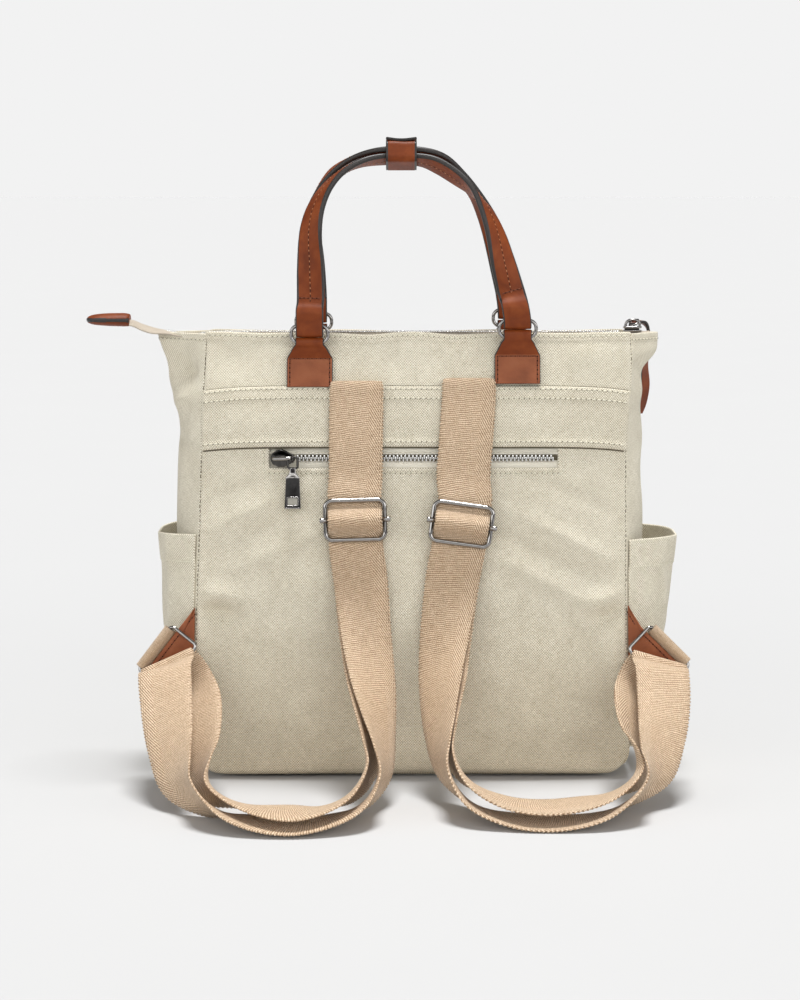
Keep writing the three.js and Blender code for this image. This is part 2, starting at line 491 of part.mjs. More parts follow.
// ------------------------------------------------------------------- top zip
const TAPE = [
  { x: -209, half: 6.5, z: 334 }, { x: -199, half: 8, z: 330.6 }, { x: -189, half: 9.5, z: 327.9 },
  { x: -176, half: 9.5, z: 326.9 }, { x: -160, half: 15, z: 326.2 }, { x: -146, half: 21, z: 325.6 },
  { x: 146, half: 21, z: 325.6 }, { x: 158, half: 15, z: 325.8 }, { x: 176, half: 4.4, z: 326.2 },
];
const tapeZ = (x, y) => at(TAPE, 'z', x, 'x') - 1.2 * Math.min(1, Math.abs(y) / 8) - (Math.abs(x) < 150 ? 1.6 * Math.max(0, Math.abs(y) - 8) / 13 : 0);
{
  const xs = [-209, -204, -199, -194, -189, -183, -176, -168, -160, -153, -146, -100, -50, 0, 50, 100, 146, 153, 160, 168, 176];
  const grid = (depth) => xs.map((x) => [-1, -0.6, -0.35, 0, 0.35, 0.6, 1].map((k) => {
    const y = k * at(TAPE, 'half', x, 'x');
    return V(x, y, tapeZ(x, y) - depth);
  }));
  add('top_zip_tape', wall(grid(0), grid(1.1)), 'tape');
  const line = [-182, -170, -158, -146, -100, -50, 0, 50, 100, 146, 156];
  add('top_zip_chain', sweep(line.map((x) => {
    const z = tapeZ(x, 0) + GAP;
    return [V(x, -2.8, z - 0.05), V(x, 2.8, z - 0.05), V(x, 2.8, z + 1.7), V(x, -2.8, z + 1.7)];
  }), false), 'chain');
}
// leather tab folded over the end of the zip tail
{
  const tab = [
    { x: -210, half: 8, low: 329.2, high: 338.2 }, { x: -214, half: 9.5, low: 328.9, high: 338.9 },
    { x: -224, half: 10.5, low: 329.2, high: 338.8 }, { x: -234, half: 10, low: 330, high: 338 },
    { x: -239, half: 7.5, low: 331, high: 337 }, { x: -241, half: 4, low: 332.4, high: 335.6 },
  ];
  add('zip_tail_tab', sweep(tab.map((r) => {
    const mid = (r.low + r.high) / 2, e = 1.7;
    return [V(r.x, -r.half, mid - e), V(r.x, -r.half * 0.6, r.low), V(r.x, r.half * 0.6, r.low), V(r.x, r.half, mid - e),
      V(r.x, r.half, mid + e), V(r.x, r.half * 0.6, r.high), V(r.x, -r.half * 0.6, r.high), V(r.x, -r.half, mid + e)];
  }), false), 'leather');
}
// slider at the right end with its bail, and the leather pull over the side
{
  const z = tapeZ(164, 0) + GAP;
  const body = toSolid(box(157, 171, -4.6, 4.6, z, z + 4.6));
  wire.plane = V(0, 1, 0);
  const arch = [[159, 3.4], [159.4, 6.2], [161.2, 8], [164.6, 8.4], [168, 7.4], [169, 5.6], [169.2, 3.4]].map(([x, h]) => V(x, 0, z + h));
  add('top_zip_slider', fromSolid(body.add(toSolid(wire(arch, 0.9, 6, false)))), 'metal');
  const zz = z + 6.3;
  add('top_zip_pull', strip([
    { x: 164.3, y: -2, z: zz - 0.25, nx: 0, ny: 0, nz: 1, w: 5, t: 1.4 },
    { x: 164.6, y: 4, z: zz - 0.25, nx: 0, ny: 0, nz: 1, w: 5.4, t: 1.4 },
    { x: 168, y: 9.5, z: zz + 0.2, nx: 0, ny: 0.1, nz: 1, w: 8, t: 2 },
    { x: 173.2, y: 12.6, z: 331.4, nx: 0.3, ny: 0.1, nz: 0.95, w: 10 },
    { x: 177, y: 13.8, z: 326.4, nx: 0.85, ny: -0.1, nz: 0.5, w: 11 },
    { x: 177.2, y: 14.4, z: 316, nx: 0.95, ny: -0.3, nz: 0, w: 11.5 },
    { x: 174.6, y: 14.8, z: 300, nx: 0.88, ny: -0.48, nz: 0, w: 12 },
    { x: 175, y: 14.8, z: 284, nx: 0.75, ny: -0.66, nz: 0, w: 12 },
    { x: 173, y: 14.2, z: 270, nx: 0.75, ny: -0.66, nz: 0, w: 10.5 },
    { x: 171.5, y: 13.8, z: 263, nx: 0.75, ny: -0.66, nz: 0, w: 6 },
  ], 8, 12, 2.4), 'leather');
}

// ------------------------------------------------------- zip pocket hardware
{
  const tapeGrid = (depth) => span(14, -112, 114.5).map((x) => [222, 228, 236, 244, 250].map((z) => V(
    x, faceY(-1, x, z) + CANVAS + GAP + depth, z)));
  add('rear_zip_tape', wall(tapeGrid(0), tapeGrid(1)), 'tape');
  const xs = [-84, -60, -30, 0, 30, 60, 90, SLOT.x1 - 0.6];
  add('rear_zip_chain', sweep(xs.map((x) => {
    const y = faceY(-1, x, CHAIN_Z) + CANVAS - 0.4;
    return [V(x, y, CHAIN_Z - CHAIN_H / 2), V(x, y - 2.2, CHAIN_Z - CHAIN_H / 2), V(x, y - 2.2, CHAIN_Z + CHAIN_H / 2), V(x, y, CHAIN_Z + CHAIN_H / 2)];
  }), false), 'chain');
}
const PULL = { x: -86.6, z: 236.4, lean: 8.5 };
{
  const y0 = faceY(-1, -92, CHAIN_Z) + CANVAS - 1.4, front = y0 - 4.6;
  const outline = [[-101.5, 229.6], [-89, 229.2], [-85, 231.5], [-85, 240], [-89, 242], [-101.5, 241.6], [-103, 238], [-103, 233]];
  const body = toSolid(placed(plate(outline, 4.6), V(0, y0, 0), V(1, 0, 0), V(0, 0, 1), V(0, -1, 0)));
  wire.plane = V(1, 0, 0);
  const arch = [[0.9, 240.6], [-2.2, 240.5], [-4.2, 239.4], [-5, 236.6], [-4.4, 234.4], [-2.8, 233.5], [0.9, 233.4]]
    .map(([y, z]) => V(PULL.x, front + y, z));
  add('rear_zip_slider', fromSolid(body.add(toSolid(wire(arch, 0.8, 6, false)))), 'metal');
  PULL.y = front - 2.3;
  // pull: square eye, neck and flared plate with a shallow window
  const eye = [[-4.4, 1.1], [4.4, 1.1], [4.4, -8.2], [2.2, -10.5], [2.2, -13], [4.6, -15.5], [5.2, -25], [5.7, -36.6], [-5.7, -36.6], [-5.2, -25], [-4.6, -15.5], [-2.2, -13], [-2.2, -10.5], [-4.4, -8.2]];
  const hole = [[-2.6, -1], [2.6, -1], [2.6, -7], [-2.6, -7]];
  const q = rad(PULL.lean), down = V(0, Math.sin(q), Math.cos(q)), out = V(0, -Math.cos(q), Math.sin(q));
  const pull = toSolid(plate(eye, 2, hole))
    .subtract(toSolid(box(-4.2, 4.2, -35.4, -28, 1.5, 4)));
  add('rear_zip_pull', placed(fromSolid(pull), V(PULL.x, PULL.y, PULL.z).addScaledVector(out, -1), V(1, 0, 0), down, out), 'metal');
}

// ------------------------------------------------------------- strap hardware
function buckleFrame(b) {
  const lean = rad(b.lean), turn = rad(b.turn);
  const up0 = V(0, Math.sin(lean), Math.cos(lean)), out = V(0, -Math.cos(lean), Math.sin(lean)), right0 = V(1, 0, 0);
  const right = right0.clone().multiplyScalar(Math.cos(turn)).addScaledVector(up0, Math.sin(turn));
  const up = up0.clone().multiplyScalar(Math.cos(turn)).addScaledVector(right0, -Math.sin(turn));
  return { o: V(b.x, b.y, b.z), right, up, out };
}
const local = (f, r, u, o) => f.o.clone().addScaledVector(f.right, r).addScaledVector(f.up, u).addScaledVector(f.out, o);
const row = (p, n, extra = {}) => ({ x: p.x, y: p.y, z: p.z, nx: n.x, ny: n.y, nz: n.z, ...extra });

function anchorFrame(a) {
  const along = V(...a.along).normalize();
  const inward = V(...a.inward);
  inward.addScaledVector(along, -inward.dot(along)).normalize();
  const out = V().crossVectors(along, inward).normalize();
  if (out.y > 0) out.negate();
  const across = inward.clone().multiplyScalar(Math.cos(rad(RING_LIFT))).addScaledVector(out, Math.sin(rad(RING_LIFT)));
  return { o: V(...a.at), along, inward, out, across };
}

for (const side of ['left', 'right']) {
  const s = STRAP[side], f = buckleFrame(s.buckle), a = anchorFrame(ANCHOR[side]);
  const sgn = side === 'left' ? -1 : 1;

  // buckle: wire frame and its loose centre bar
  wire.plane = f.out;
  add(`buckle_frame_${side}`, wire(roundedLoop(f.o, f.right, f.up, BUCKLE.w, BUCKLE.h, 5, 3), BUCKLE.wire / 2, 6, true), 'metal');
  const bar = span(1, -1, 1).map((k) => local(f, k * BUCKLE.barLength / 2, 0, 2.6));
  const knob = [-25.5, -24.5, -22.4, -22.3, 22.3, 22.4, 24.5, 25.5];
  const knobR = [1.2, 2, 2, 1.7, 1.7, 2, 2, 1.2];
  add(`buckle_bar_${side}`, sweep(knob.map((k, i) => span(7, 0, 7).map((j) => {
    const q = 2 * Math.PI * j / 8;
    return local(f, k, knobR[i] * Math.cos(q), 3.6 + knobR[i] * Math.sin(q));
  })), false), 'metal');

  // webbing: from the yoke seam over the top fold, down through the buckle,
  // round the loop and the lower ring and back up inside to the centre bar
  const yTop = (z, off) => faceY(-1, s.top.x, z) - off;
  const zt = s.top.z;
  const rows = [
    { x: s.top.x, y: yTop(zt, 1.45), z: zt + 0.2, nx: 0, ny: 1, nz: 0.1, w: 34.5 },
    { x: s.top.x, y: yTop(zt, 1.7), z: zt + 2.2, nx: 0, ny: 0.9, nz: 0.5, w: 34.5 },
    { x: s.top.x, y: yTop(zt, 3.4), z: zt + 4.2, nx: 0, ny: 0, nz: 1, w: 35 },
    { x: s.top.x, y: yTop(zt, 5.6), z: zt + 1.6, nx: 0, ny: -0.9, nz: 0.4, w: 37.4 },
    { x: s.top.x, y: yTop(zt - 8, 5.5), z: zt - 8, nx: 0, ny: -1, nz: 0.14 },
    { x: s.top.x + (s.buckle.x - s.top.x) * 0.45, y: yTop(246, 5.6), z: 246, nx: 0, ny: -1, nz: 0.14 },
    { x: s.top.x + (s.buckle.x - s.top.x) * 0.75, y: yTop(222, 5.2), z: 222, nx: 0, ny: -1, nz: 0.14 },
    ...BUCKLE_OVER.map((r) => row(local(f, 0, r.up, r.out), f.out.clone().addScaledVector(f.up, r.tip))),
    ...s.outer,
  ];
  // slanting turn through the lower ring, then back up inside the loop
  const inRing = ([i, l, o]) => a.o.clone().addScaledVector(a.inward, i).addScaledVector(a.along, l).addScaledVector(a.out, o);
  for (const r of RING_TURN) rows.push(sgn < 0 ? { p: inRing(r.far), q: inRing(r.near) } : { p: inRing(r.near), q: inRing(r.far) });
  rows.push(...s.inner);
  rows.push(...BUCKLE_BACK.map((r) => row(local(f, 0, r.up, r.out), f.out.clone().negate())));
  add(`shoulder_strap_${side}`, strip(rows, 11, WEB_W, WEB_T), 'webbing');

  // lower anchor: ring, short webbing loop round its outer bar, leather over it
  wire.plane = V().crossVectors(a.along, a.across);
  const mid = a.o.clone().addScaledVector(a.across, ANCHOR_RING.short / 2);
  add(`anchor_ring_${side}`, wire(roundedLoop(mid, a.along, a.across, ANCHOR_RING.long, ANCHOR_RING.short, 3.4, 2), ANCHOR_RING.wire / 2, 6, true), 'metal');
  const rIn = ANCHOR_RING.wire / 2 + GAP, rOut = rIn + WEB_T, arc = (r, q) => [r * Math.cos(rad(q)), r * Math.sin(rad(q))];
  const loop = [[12, -6.7], [12, -4.7], [1.6, -4.6], ...span(6, 250, 40).map((q) => arc(rIn, q)), [3.4, -4.1], [11, -4.1],
    [11, -2.1], [5, -2.1], ...span(6, 50, 235).map((q) => arc(rOut, q)), [0.6, -6.6]];
  const right = V().crossVectors(a.inward, a.out).dot(a.along) > 0 ? 1 : -1;
  add(`anchor_loop_${side}`, placed(plate(loop, ANCHOR_RING.loop), a.o.clone().addScaledVector(a.along, -right * ANCHOR_RING.loop / 2),
    a.inward, a.out, a.along.clone().multiplyScalar(right)), 'webbing');
  // leather: a triangle that runs from the side seam along the loop
  const back = a.o.clone().addScaledVector(a.out, LEATHER_LIFT);
  const onSeam = (z) => {
    const dx = at(SECTION, sgn < 0 ? 'xl' : 'xr', z) + sgn * 0.7 - back.x, dz = z - back.z;
    const det = a.inward.x * a.along.z - a.along.x * a.inward.z;
    return [(dx * a.along.z - a.along.x * dz) / det, (a.inward.x * dz - dx * a.inward.z) / det];
  };
  const outline = [onSeam(ANCHOR[side].apex), [5.4, -24], [5.2, 19.5], [8, 22.5], onSeam(ANCHOR[side].apex - 41), onSeam(ANCHOR[side].apex - 18)];
  const turn = V().crossVectors(a.inward, a.along).dot(a.out) > 0 ? 1 : -1;
  add(`anchor_leather_${side}`, placed(plate(outline.map(([i, l]) => [i, turn * l]), LEATHER), back,
    a.inward, a.along.clone().multiplyScalar(turn), a.out), 'leather');
}

// ------------------------------------------------------------- carry handles
for (const r of HANDLE_RINGS) {
  const y = faceY(r.face, r.x, 300) + r.face * 2.2;
  r.y = y;
  wire.plane = V(0, 1, 0);
  r.right = V(1, 0, 0);
  r.up = V(0, 0, 1);
  add(`handle_ring_${r.name}`, wire(roundedLoop(V(r.x, y, r.z), r.right, r.up, HANDLE_RING.w, HANDLE_RING.h, 5.6, 3), HANDLE_RING.wire / 2, 6, true), 'metal');

  // tab folded over the lower bar and sewn to the panel, wider at its foot
  const f = r.face, foot = f < 0 ? YOKE_TOP + (r.x > 0 ? 3 : 0.6) : 286, t = 1.3;
  const bar = V(r.x, y, r.z).addScaledVector(r.up, -HANDLE_RING.h / 2), x = bar.x;
  const sewn = (z, off, w) => ({ x, y: faceY(f, x, z) + f * off, z, nx: 0, ny: f, nz: 0, w });
  const eye = (out, up) => {
    const c = bar.clone().addScaledVector(r.up, up).add(V(0, f * out, 0));
    return { p: c.clone().addScaledVector(r.right, -f * 10.2), q: c.clone().addScaledVector(r.right, f * 10.2) };
  };
  const k = HANDLE_RING.wire / 2 + GAP + t / 2 + 0.35;
  const under = [sewn(foot, 0.6 + t / 2, 33.5), sewn(bar.z - 14.6, 0.6 + t / 2, 33.5), sewn(bar.z - 11, 0.7 + t / 2, 31)];
  const over = [sewn(bar.z - 11, 1.1 + t * 1.5, 31), sewn(bar.z - 14.6, 1 + t * 1.5, 33.5), sewn(foot, 1 + t * 1.5, 33.5)];
  under.forEach((u) => { u.ny = -f; });
  add(`handle_tab_${r.name}`, strip([...under, eye(-k, -1.5), eye(-k * 0.72, r.rise + k * 0.72), eye(0, r.rise + k), eye(k * 0.72, r.rise + k * 0.72), eye(k, -1.5), ...over], 7, 20, t), 'leather');
}
for (const [name, face] of [['back', -1], ['front', 1]]) {
  const ends = HANDLE_RINGS.filter((r) => r.face === face);
  const eye = (r, turn) => {
    const t = 1.6, k = HANDLE_RING.wire / 2 + GAP + t / 2 + 0.25, bar = V(r.x, r.y, r.z).addScaledVector(r.up, HANDLE_RING.h / 2);
    return [[-k, 11.5], [-k, 3], [-k, 0.4 - r.drop], [-k * 0.72, -r.drop - k * 0.72], [0, -r.drop - k], [k * 0.72, -r.drop - k * 0.72], [k, 0.4 - r.drop], [k, 3], [k, 11]].map(([out, up]) => {
      const c = bar.clone().addScaledVector(r.up, up).add(V(r.lean * Math.max(0, up), face * out, 0));
      return { p: c.clone().addScaledVector(r.right, -turn * HANDLE_W / 2), q: c.clone().addScaledVector(r.right, turn * HANDLE_W / 2), t };
    });
  };
  const rows = [...eye(ends[0], -face), ...HANDLE[name].map((r) => ({ ...r, t: HANDLE_T })), ...eye(ends[1], face).reverse()];
  add(`handle_${name}`, strip(rows, 12, HANDLE_W, HANDLE_T), 'leather');
}
// keeper: leather band wrapped round both handles, its end lapped on top
{
  const q = rad(KEEPER.tilt), ey = V(0, Math.cos(q), -Math.sin(q)), ez = V(0, Math.sin(q), Math.cos(q));
  const o = V(KEEPER.x0, KEEPER.y, KEEPER.z), w = HANDLE_W + 2.2, h = HANDLE_T * 2 + 3.9, t = KEEPER.wall;
  const loop = (grow, r) => roundedLoop(V(0, 0, 0), V(1, 0, 0), V(0, 1, 0), w + 2 * grow, h + 2 * grow, r, 3).map((p) => [p.x, p.y]);
  const band = toSolid(placed(plate(loop(t, 4.2), KEEPER.x1 - KEEPER.x0, loop(0, 2.2)), o, ey, ez, V(1, 0, 0)));
  const flap = [[-KEEPER.flap + 3.5, h / 2 + t - 0.4], [-KEEPER.flap + 3.5, h / 2 + t * 2], [6, h / 2 + t * 2], [9.5, h / 2 + t - 0.4]];
  const lap = toSolid(placed(plate(flap, KEEPER.x1 - KEEPER.x0), o, ey, ez, V(1, 0, 0)));
  add('handle_keeper', fromSolid(band.add(lap)), 'leather');
}

export default bag;
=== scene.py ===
import math

import bpy
import numpy as np
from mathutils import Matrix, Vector


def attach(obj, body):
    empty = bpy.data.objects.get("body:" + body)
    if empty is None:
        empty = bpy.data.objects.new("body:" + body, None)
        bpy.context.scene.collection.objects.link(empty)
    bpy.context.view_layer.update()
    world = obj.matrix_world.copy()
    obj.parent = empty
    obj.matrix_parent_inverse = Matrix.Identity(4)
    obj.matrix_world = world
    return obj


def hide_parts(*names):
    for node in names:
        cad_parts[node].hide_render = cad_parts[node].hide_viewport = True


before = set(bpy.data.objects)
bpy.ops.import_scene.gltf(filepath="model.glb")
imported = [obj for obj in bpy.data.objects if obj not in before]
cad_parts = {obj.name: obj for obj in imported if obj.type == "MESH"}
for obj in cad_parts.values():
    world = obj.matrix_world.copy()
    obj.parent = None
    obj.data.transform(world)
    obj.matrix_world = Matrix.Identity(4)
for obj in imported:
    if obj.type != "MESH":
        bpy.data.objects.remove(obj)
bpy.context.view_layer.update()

# ----------------------------------------------------------------------------
# Sizes and tables in millimetres, the same as in the part's source.
# The back of the bag faces -Y, +X is to the right of it, +Z is up.
# ----------------------------------------------------------------------------
MM = 0.001
GAP, CANVAS, CORNER_R, TOP_Z = 0.35, 1.6, 22.0, 325.5
YOKE_TOP, YOKE_BOTTOM, PANEL_SPLIT = 286.3, 243.6, 264.0
SLOT_X0, SLOT_X1, SLOT_Z0, SLOT_Z1 = -104.5, 107.0, 228.0, 246.0
CHAIN_Z, CHAIN_H = 235.6, 5.6
WEB_W, WEB_T = 38.0, 2.0
HANDLE_W, HANDLE_T = 20.0, 4.0

# z, seam left, seam right, half depth, bulge back, bulge front, gusset left, gusset right, roundness
SECTION = np.array([
    (0, -157, 158, 60, 0.6, 0.6, 2.5, 2.5, 2),
    (23, -158, 160, 60, 3, 3.5, 5, 5, 2),
    (60, -159, 159, 58.5, 6, 7, 13, 11, 2),
    (128, -158, 157.3, 53.5, 6.5, 9, 18, 15, 2),
    (180, -156, 157, 48, 6, 9, 20, 16, 2),
    (240, -154.5, 157.2, 40, 4.5, 7, 21, 15.6, 1.8),
    (274, -154, 159.5, 34.3, 3.2, 5, 23, 9.8, 1.5),
    (294, -152.5, 161, 30.6, 2.2, 3.6, 30, 9.6, 1.25),
    (311, -151.5, 161.5, 27, 1.4, 2.6, 35, 17, 1.12),
    (326, -151.5, 160.5, 24, 0.8, 2, 37, 22, 1.05),
], float)
S_XL, S_XR, S_D, S_BB, S_BF, S_WL, S_WR, S_P = range(1, 9)
# gusset dents: side, z, place from back to front, depth, spread in z, spread across
DENT = [(-1, 303, 0.3, 7, 11, 0.2), (-1, 255, 0.6, 3, 22, 0.3), (1, 291, 0.35, 4, 10, 0.25), (1, 222, 0.6, 3, 20, 0.3)]
# side pocket reach from the seam line: z, left, right
POCKET = np.array([(24, 8.5, 8.5), (60, 19, 19.5), (107, 26.5, 32), (148, 30, 38), (178, 33, 41)], float)
POCKET_TOP = {-1: (177.0, 179.0), 1: (175.0, 175.0)}
# zip tape along the top: x, half width, z
TAPE = np.array([(-209, 6.5, 334), (-199, 8, 330.6), (-189, 9.5, 327.9), (-176, 9.5, 326.9), (-160, 15, 326.2),
                 (-146, 21, 325.6), (146, 21, 325.6), (158, 15, 325.8), (176, 4.4, 326.2)], float)

STRAP = {
    "left": {
        "top": (-40.4, 287.0), "buckle": (-41.2, -62.4, 192.6, 8.0, 1.5),
        "outer": [(-37.5, -64.6, 150, 0, -0.97, 0.22), (-32.5, -80.5, 107.7, 0.38, -0.8, 0.46),
                  (-28, -98, 80.5, 0.55, -0.63, 0.55), (-24, -119, 57, 0.78, -0.38, 0.5),
                  (-21, -146, 34, 0.95, -0.24, 0.18), (-27, -168, 19, 0.86, -0.22, -0.46),
                  (-44, -188, 9.2, 0.46, -0.03, -0.88), (-82, -200, 2.7, 0, 0, -1),
                  (-120, -193, 7.6, -0.4, -0.03, -0.91), (-147, -176, 15.8, -0.74, -0.42, -0.5),
                  (-163, -155, 27, -0.71, -0.65, 0.2), (-170, -132, 46, -0.52, -0.66, 0.54),
                  (-175, -106, 69, -0.28, -0.66, 0.7), (-178, -84, 87, -0.16, -0.72, 0.67)],
        "inner": [(-155, -92, 61, 0.36, 0.56, -0.75), (-150.5, -128, 38, 0.62, 0.5, -0.6),
                  (-146, -151, 23.5, 0.84, 0.47, -0.15), (-133, -170, 17, 0.6, 0.3, 0.72),
                  (-108, -188, 13, 0.24, 0.08, 0.96), (-80, -196, 11.4, 0, 0, 1),
                  (-54, -185, 14.6, -0.44, 0.1, 0.88), (-36, -163, 23.5, -0.87, 0.22, 0.42),
                  (-29.5, -137, 36.5, -0.95, 0.24, -0.14), (-30.7, -94.9, 77.8, -0.55, 0.63, -0.55),
                  (-33.9, -77.5, 106.0, -0.38, 0.8, -0.46), (-37.5, -61.5, 149.3, 0, 0.97, -0.22)],
    },
    "right": {
        "top": (41.5, 289.0), "buckle": (36.0, -62.6, 189.6, 8.0, -8.0),
        "outer": [(29.5, -64.8, 150, -0.06, -0.97, 0.22), (22.5, -81, 104, -0.46, -0.76, 0.45),
                  (20, -98, 79.5, -0.65, -0.59, 0.48), (19.5, -119, 55, -0.84, -0.4, 0.37),
                  (21.5, -140, 36, -0.96, -0.24, 0.1), (28, -158, 22.5, -0.86, -0.2, -0.46),
                  (44, -175, 9.5, -0.46, -0.1, -0.88), (72, -184, 2.8, -0.1, 0, -0.99),
                  (102, -186, 2, 0.04, 0, -1), (131, -181, 6.4, 0.38, -0.1, -0.92),
                  (157, -166, 18.5, 0.72, -0.36, -0.58), (169.5, -146, 32.5, 0.73, -0.6, 0.3),
                  (176, -124, 51, 0.46, -0.66, 0.6), (179.5, -102, 70.5, 0.18, -0.68, 0.71),
                  (180, -83, 88, 0.1, -0.73, 0.67)],
        "inner": [(162, -90, 60, -0.46, 0.58, -0.66), (160.5, -113, 41.5, -0.74, 0.4, -0.53),
                  (159, -133, 29, -0.9, 0.34, -0.05), (151, -152, 22, -0.66, 0.3, 0.68),
                  (129, -172, 15.5, -0.26, 0.08, 0.96), (95, -181, 11.4, -0.02, 0, 1),
                  (68, -177, 13, 0.2, 0.02, 0.98), (46, -163, 20, 0.52, 0.08, 0.84),
                  (32, -146, 29.5, 0.88, 0.18, 0.4), (26, -125, 45.5, 0.96, 0.24, -0.1),
                  (23.7, -94.6, 76.8, 0.65, 0.59, -0.48), (24.7, -77.3, 101.8, 0.46, 0.76, -0.45),
                  (29.7, -60.9, 149.1, 0.06, 0.97, -0.22)],
    },
}
RING_TURN = [([24.5, -13.5, 14], [4.5, 20.5, 9.6]), ([22.6, -16.2, 12.6], [1.2, 18.2, 7.4]),
             ([20, -16, 9.6], [2.4, 17.6, 5.2]), ([22.4, -15.8, 6.2], [9, 17.6, 3.6]),
             ([30, -15, 5.8], [19, 19.5, 3.6]), ([41, -11.5, 10], [31, 24, 7])]
BUCKLE_OVER = [(19, -3.2, 0), (14.3, -3.2, 0), (9.6, -1.7, 0.4), (5.6, 2.6, 1), (2.8, 5.9, 0.7), (0, 6.9, 0),
               (-2.8, 5.9, -0.7), (-5.6, 2.6, -1), (-9.6, -1.7, -0.4), (-14.3, -3.2, 0), (-19, -3.4, 0)]
BUCKLE_BACK = [(-19, -5.9), (-14.3, -5.7), (-8.2, -4.5), (-3, -1.4), (0.6, -0.2)]
ANCHOR = {
    "left": {"at": (-187.7, -58.5, 97.8), "apex": 126.6, "along": (-0.602, -0.1, -0.79), "inward": (0.8, 0.05, -0.6)},
    "right": {"at": (188.5, -58.5, 99.7), "apex": 128.4, "along": (0.711, -0.1, -0.7), "inward": (-0.7, 0.03, -0.7)},
}
HANDLE = {
    "back": [(-74, -30.5, 348, 0, -1, 0.04), (-74, -27.5, 373, -0.18, -0.98, 0.05), (-73.7, -24, 399.7, -0.6, -0.78, 0.14),
             (-70.4, -20, 415.6, -0.72, -0.56, 0.4), (-63, -15.5, 430, -0.73, -0.3, 0.61), (-52.5, -11.5, 441.1, -0.58, -0.08, 0.8),
             (-38.2, -7.5, 448.6, -0.34, 0.12, 0.93), (-22, -3, 451.6, -0.06, 0.28, 0.96), (6, -3, 451.2, 0.08, 0.34, 0.94),
             (18, -4.5, 447.4, 0.42, 0.46, 0.78), (32.7, -8.5, 438.5, 0.6, 0.42, 0.68), (44.7, -13.5, 428.6, 0.76, 0.14, 0.63),
             (53.1, -19, 416.6, 0.8, -0.28, 0.53), (59.6, -23.5, 401.5, 0.74, -0.58, 0.33), (67, -28, 374.5, 0.38, -0.91, 0.17),
             (73, -29.5, 353.4, 0.02, -1, 0.05)],
    "front": [(-74, 30.5, 354, 0, 1, 0.04), (-75.5, 28, 378, -0.2, 0.97, 0.05), (-76, 23, 402, -0.74, 0.64, 0.2),
              (-71.5, 16, 423, -0.86, 0.1, 0.5), (-61.5, 10.5, 440.2, -0.7, -0.14, 0.7), (-43.8, 5.2, 452, -0.42, 0.02, 0.9),
              (-23, -1.6, 456.1, -0.08, 0.29, 0.96), (7, -1.4, 455.8, 0.08, 0.34, 0.94), (20.5, 0.6, 451.7, 0.42, 0.42, 0.8),
              (35, 8, 440, 0.62, 0.36, 0.7), (47.4, 15, 425.8, 0.78, 0.36, 0.5), (55.6, 20, 411, 0.76, 0.58, 0.26),
              (62.2, 24, 395, 0.58, 0.8, 0.1), (68.4, 28.2, 374, 0.2, 0.97, 0.05), (72.4, 30.5, 357.5, 0, 1, 0.04)],
}
# ring centre, side, drop of the handle's loop, rise of the tab's loop, lean of the handle end, flare of the tab
HANDLE_RINGS = [("back_left", -74.6, 325.2, -1, 4.4, 0.0, 0.0, 11.7), ("back_right", 77.0, 329.0, -1, 2.3, 2.0, -0.18, 13.4),
                ("front_left", -74.0, 330.6, 1, 3.0, 1.0, 0.0, 12.5), ("front_right", 75.4, 333.4, 1, 3.0, 1.0, -0.15, 12.5)]
RING_W, RING_H, RING_WIRE = 27.0, 12.4, 2.6


# ----------------------------------------------------------------------------
# Small mathematics
# ----------------------------------------------------------------------------
def V(*a):
    return np.array(a, float)


def unit(a):
    a = np.asarray(a, float)
    return a / np.maximum(np.linalg.norm(a, axis=-1, keepdims=True), 1e-12)


def rad(d):
    return d * math.pi / 180


def smooth(a, b, x):
    t = np.clip((np.asarray(x, float) - a) / (b - a), 0, 1)
    return t * t * (3 - 2 * t)


def at(rows, col, z):
    """A column of a table at z, on a smooth curve through its rows."""
    t, f = rows[:, 0], rows[:, col]
    z = np.clip(np.asarray(z, float), t[0], t[-1])
    m = np.zeros(len(t))
    m[1:-1] = (f[2:] - f[:-2]) / (t[2:] - t[:-2])
    i = np.clip(np.searchsorted(t, z, side="left") - 1, 0, len(t) - 2)
    h = t[i + 1] - t[i]
    s = (z - t[i]) / h
    s2, s3 = s * s, s * s * s
    return (2 * s3 - 3 * s2 + 1) * f[i] + (s3 - 2 * s2 + s) * h * m[i] + (3 * s2 - 2 * s3) * f[i + 1] + (s3 - s2) * h * m[i + 1]


def seam(side, z):
    z = np.asarray(z, float)
    x = at(SECTION, S_XL if side < 0 else S_XR, z)
    cut = np.where(z < CORNER_R, CORNER_R - np.sqrt(np.maximum(0, CORNER_R ** 2 - (CORNER_R - np.minimum(z, CORNER_R)) ** 2)), 0)
    return x - side * cut


def face_y(face, x, z):
    xl, xr = at(SECTION, S_XL, z), at(SECTION, S_XR, z)
    s = np.minimum(1, np.abs((2 * x - xl - xr) / (xr - xl)))
    return face * (at(SECTION, S_D, z) + at(SECTION, S_BB if face < 0 else S_BF, z) * (1 - s ** 2.4))


def hill(x, z, x0, z0, sx, sz, turn=0.0):
    """A soft round hill of height 1, stretched and turned."""
    c, s = math.cos(rad(turn)), math.sin(rad(turn))
    a, b = (x - x0) * c + (z - z0) * s, -(x - x0) * s + (z - z0) * c
    return np.exp(-(a / sx) ** 2 - (b / sz) ** 2)


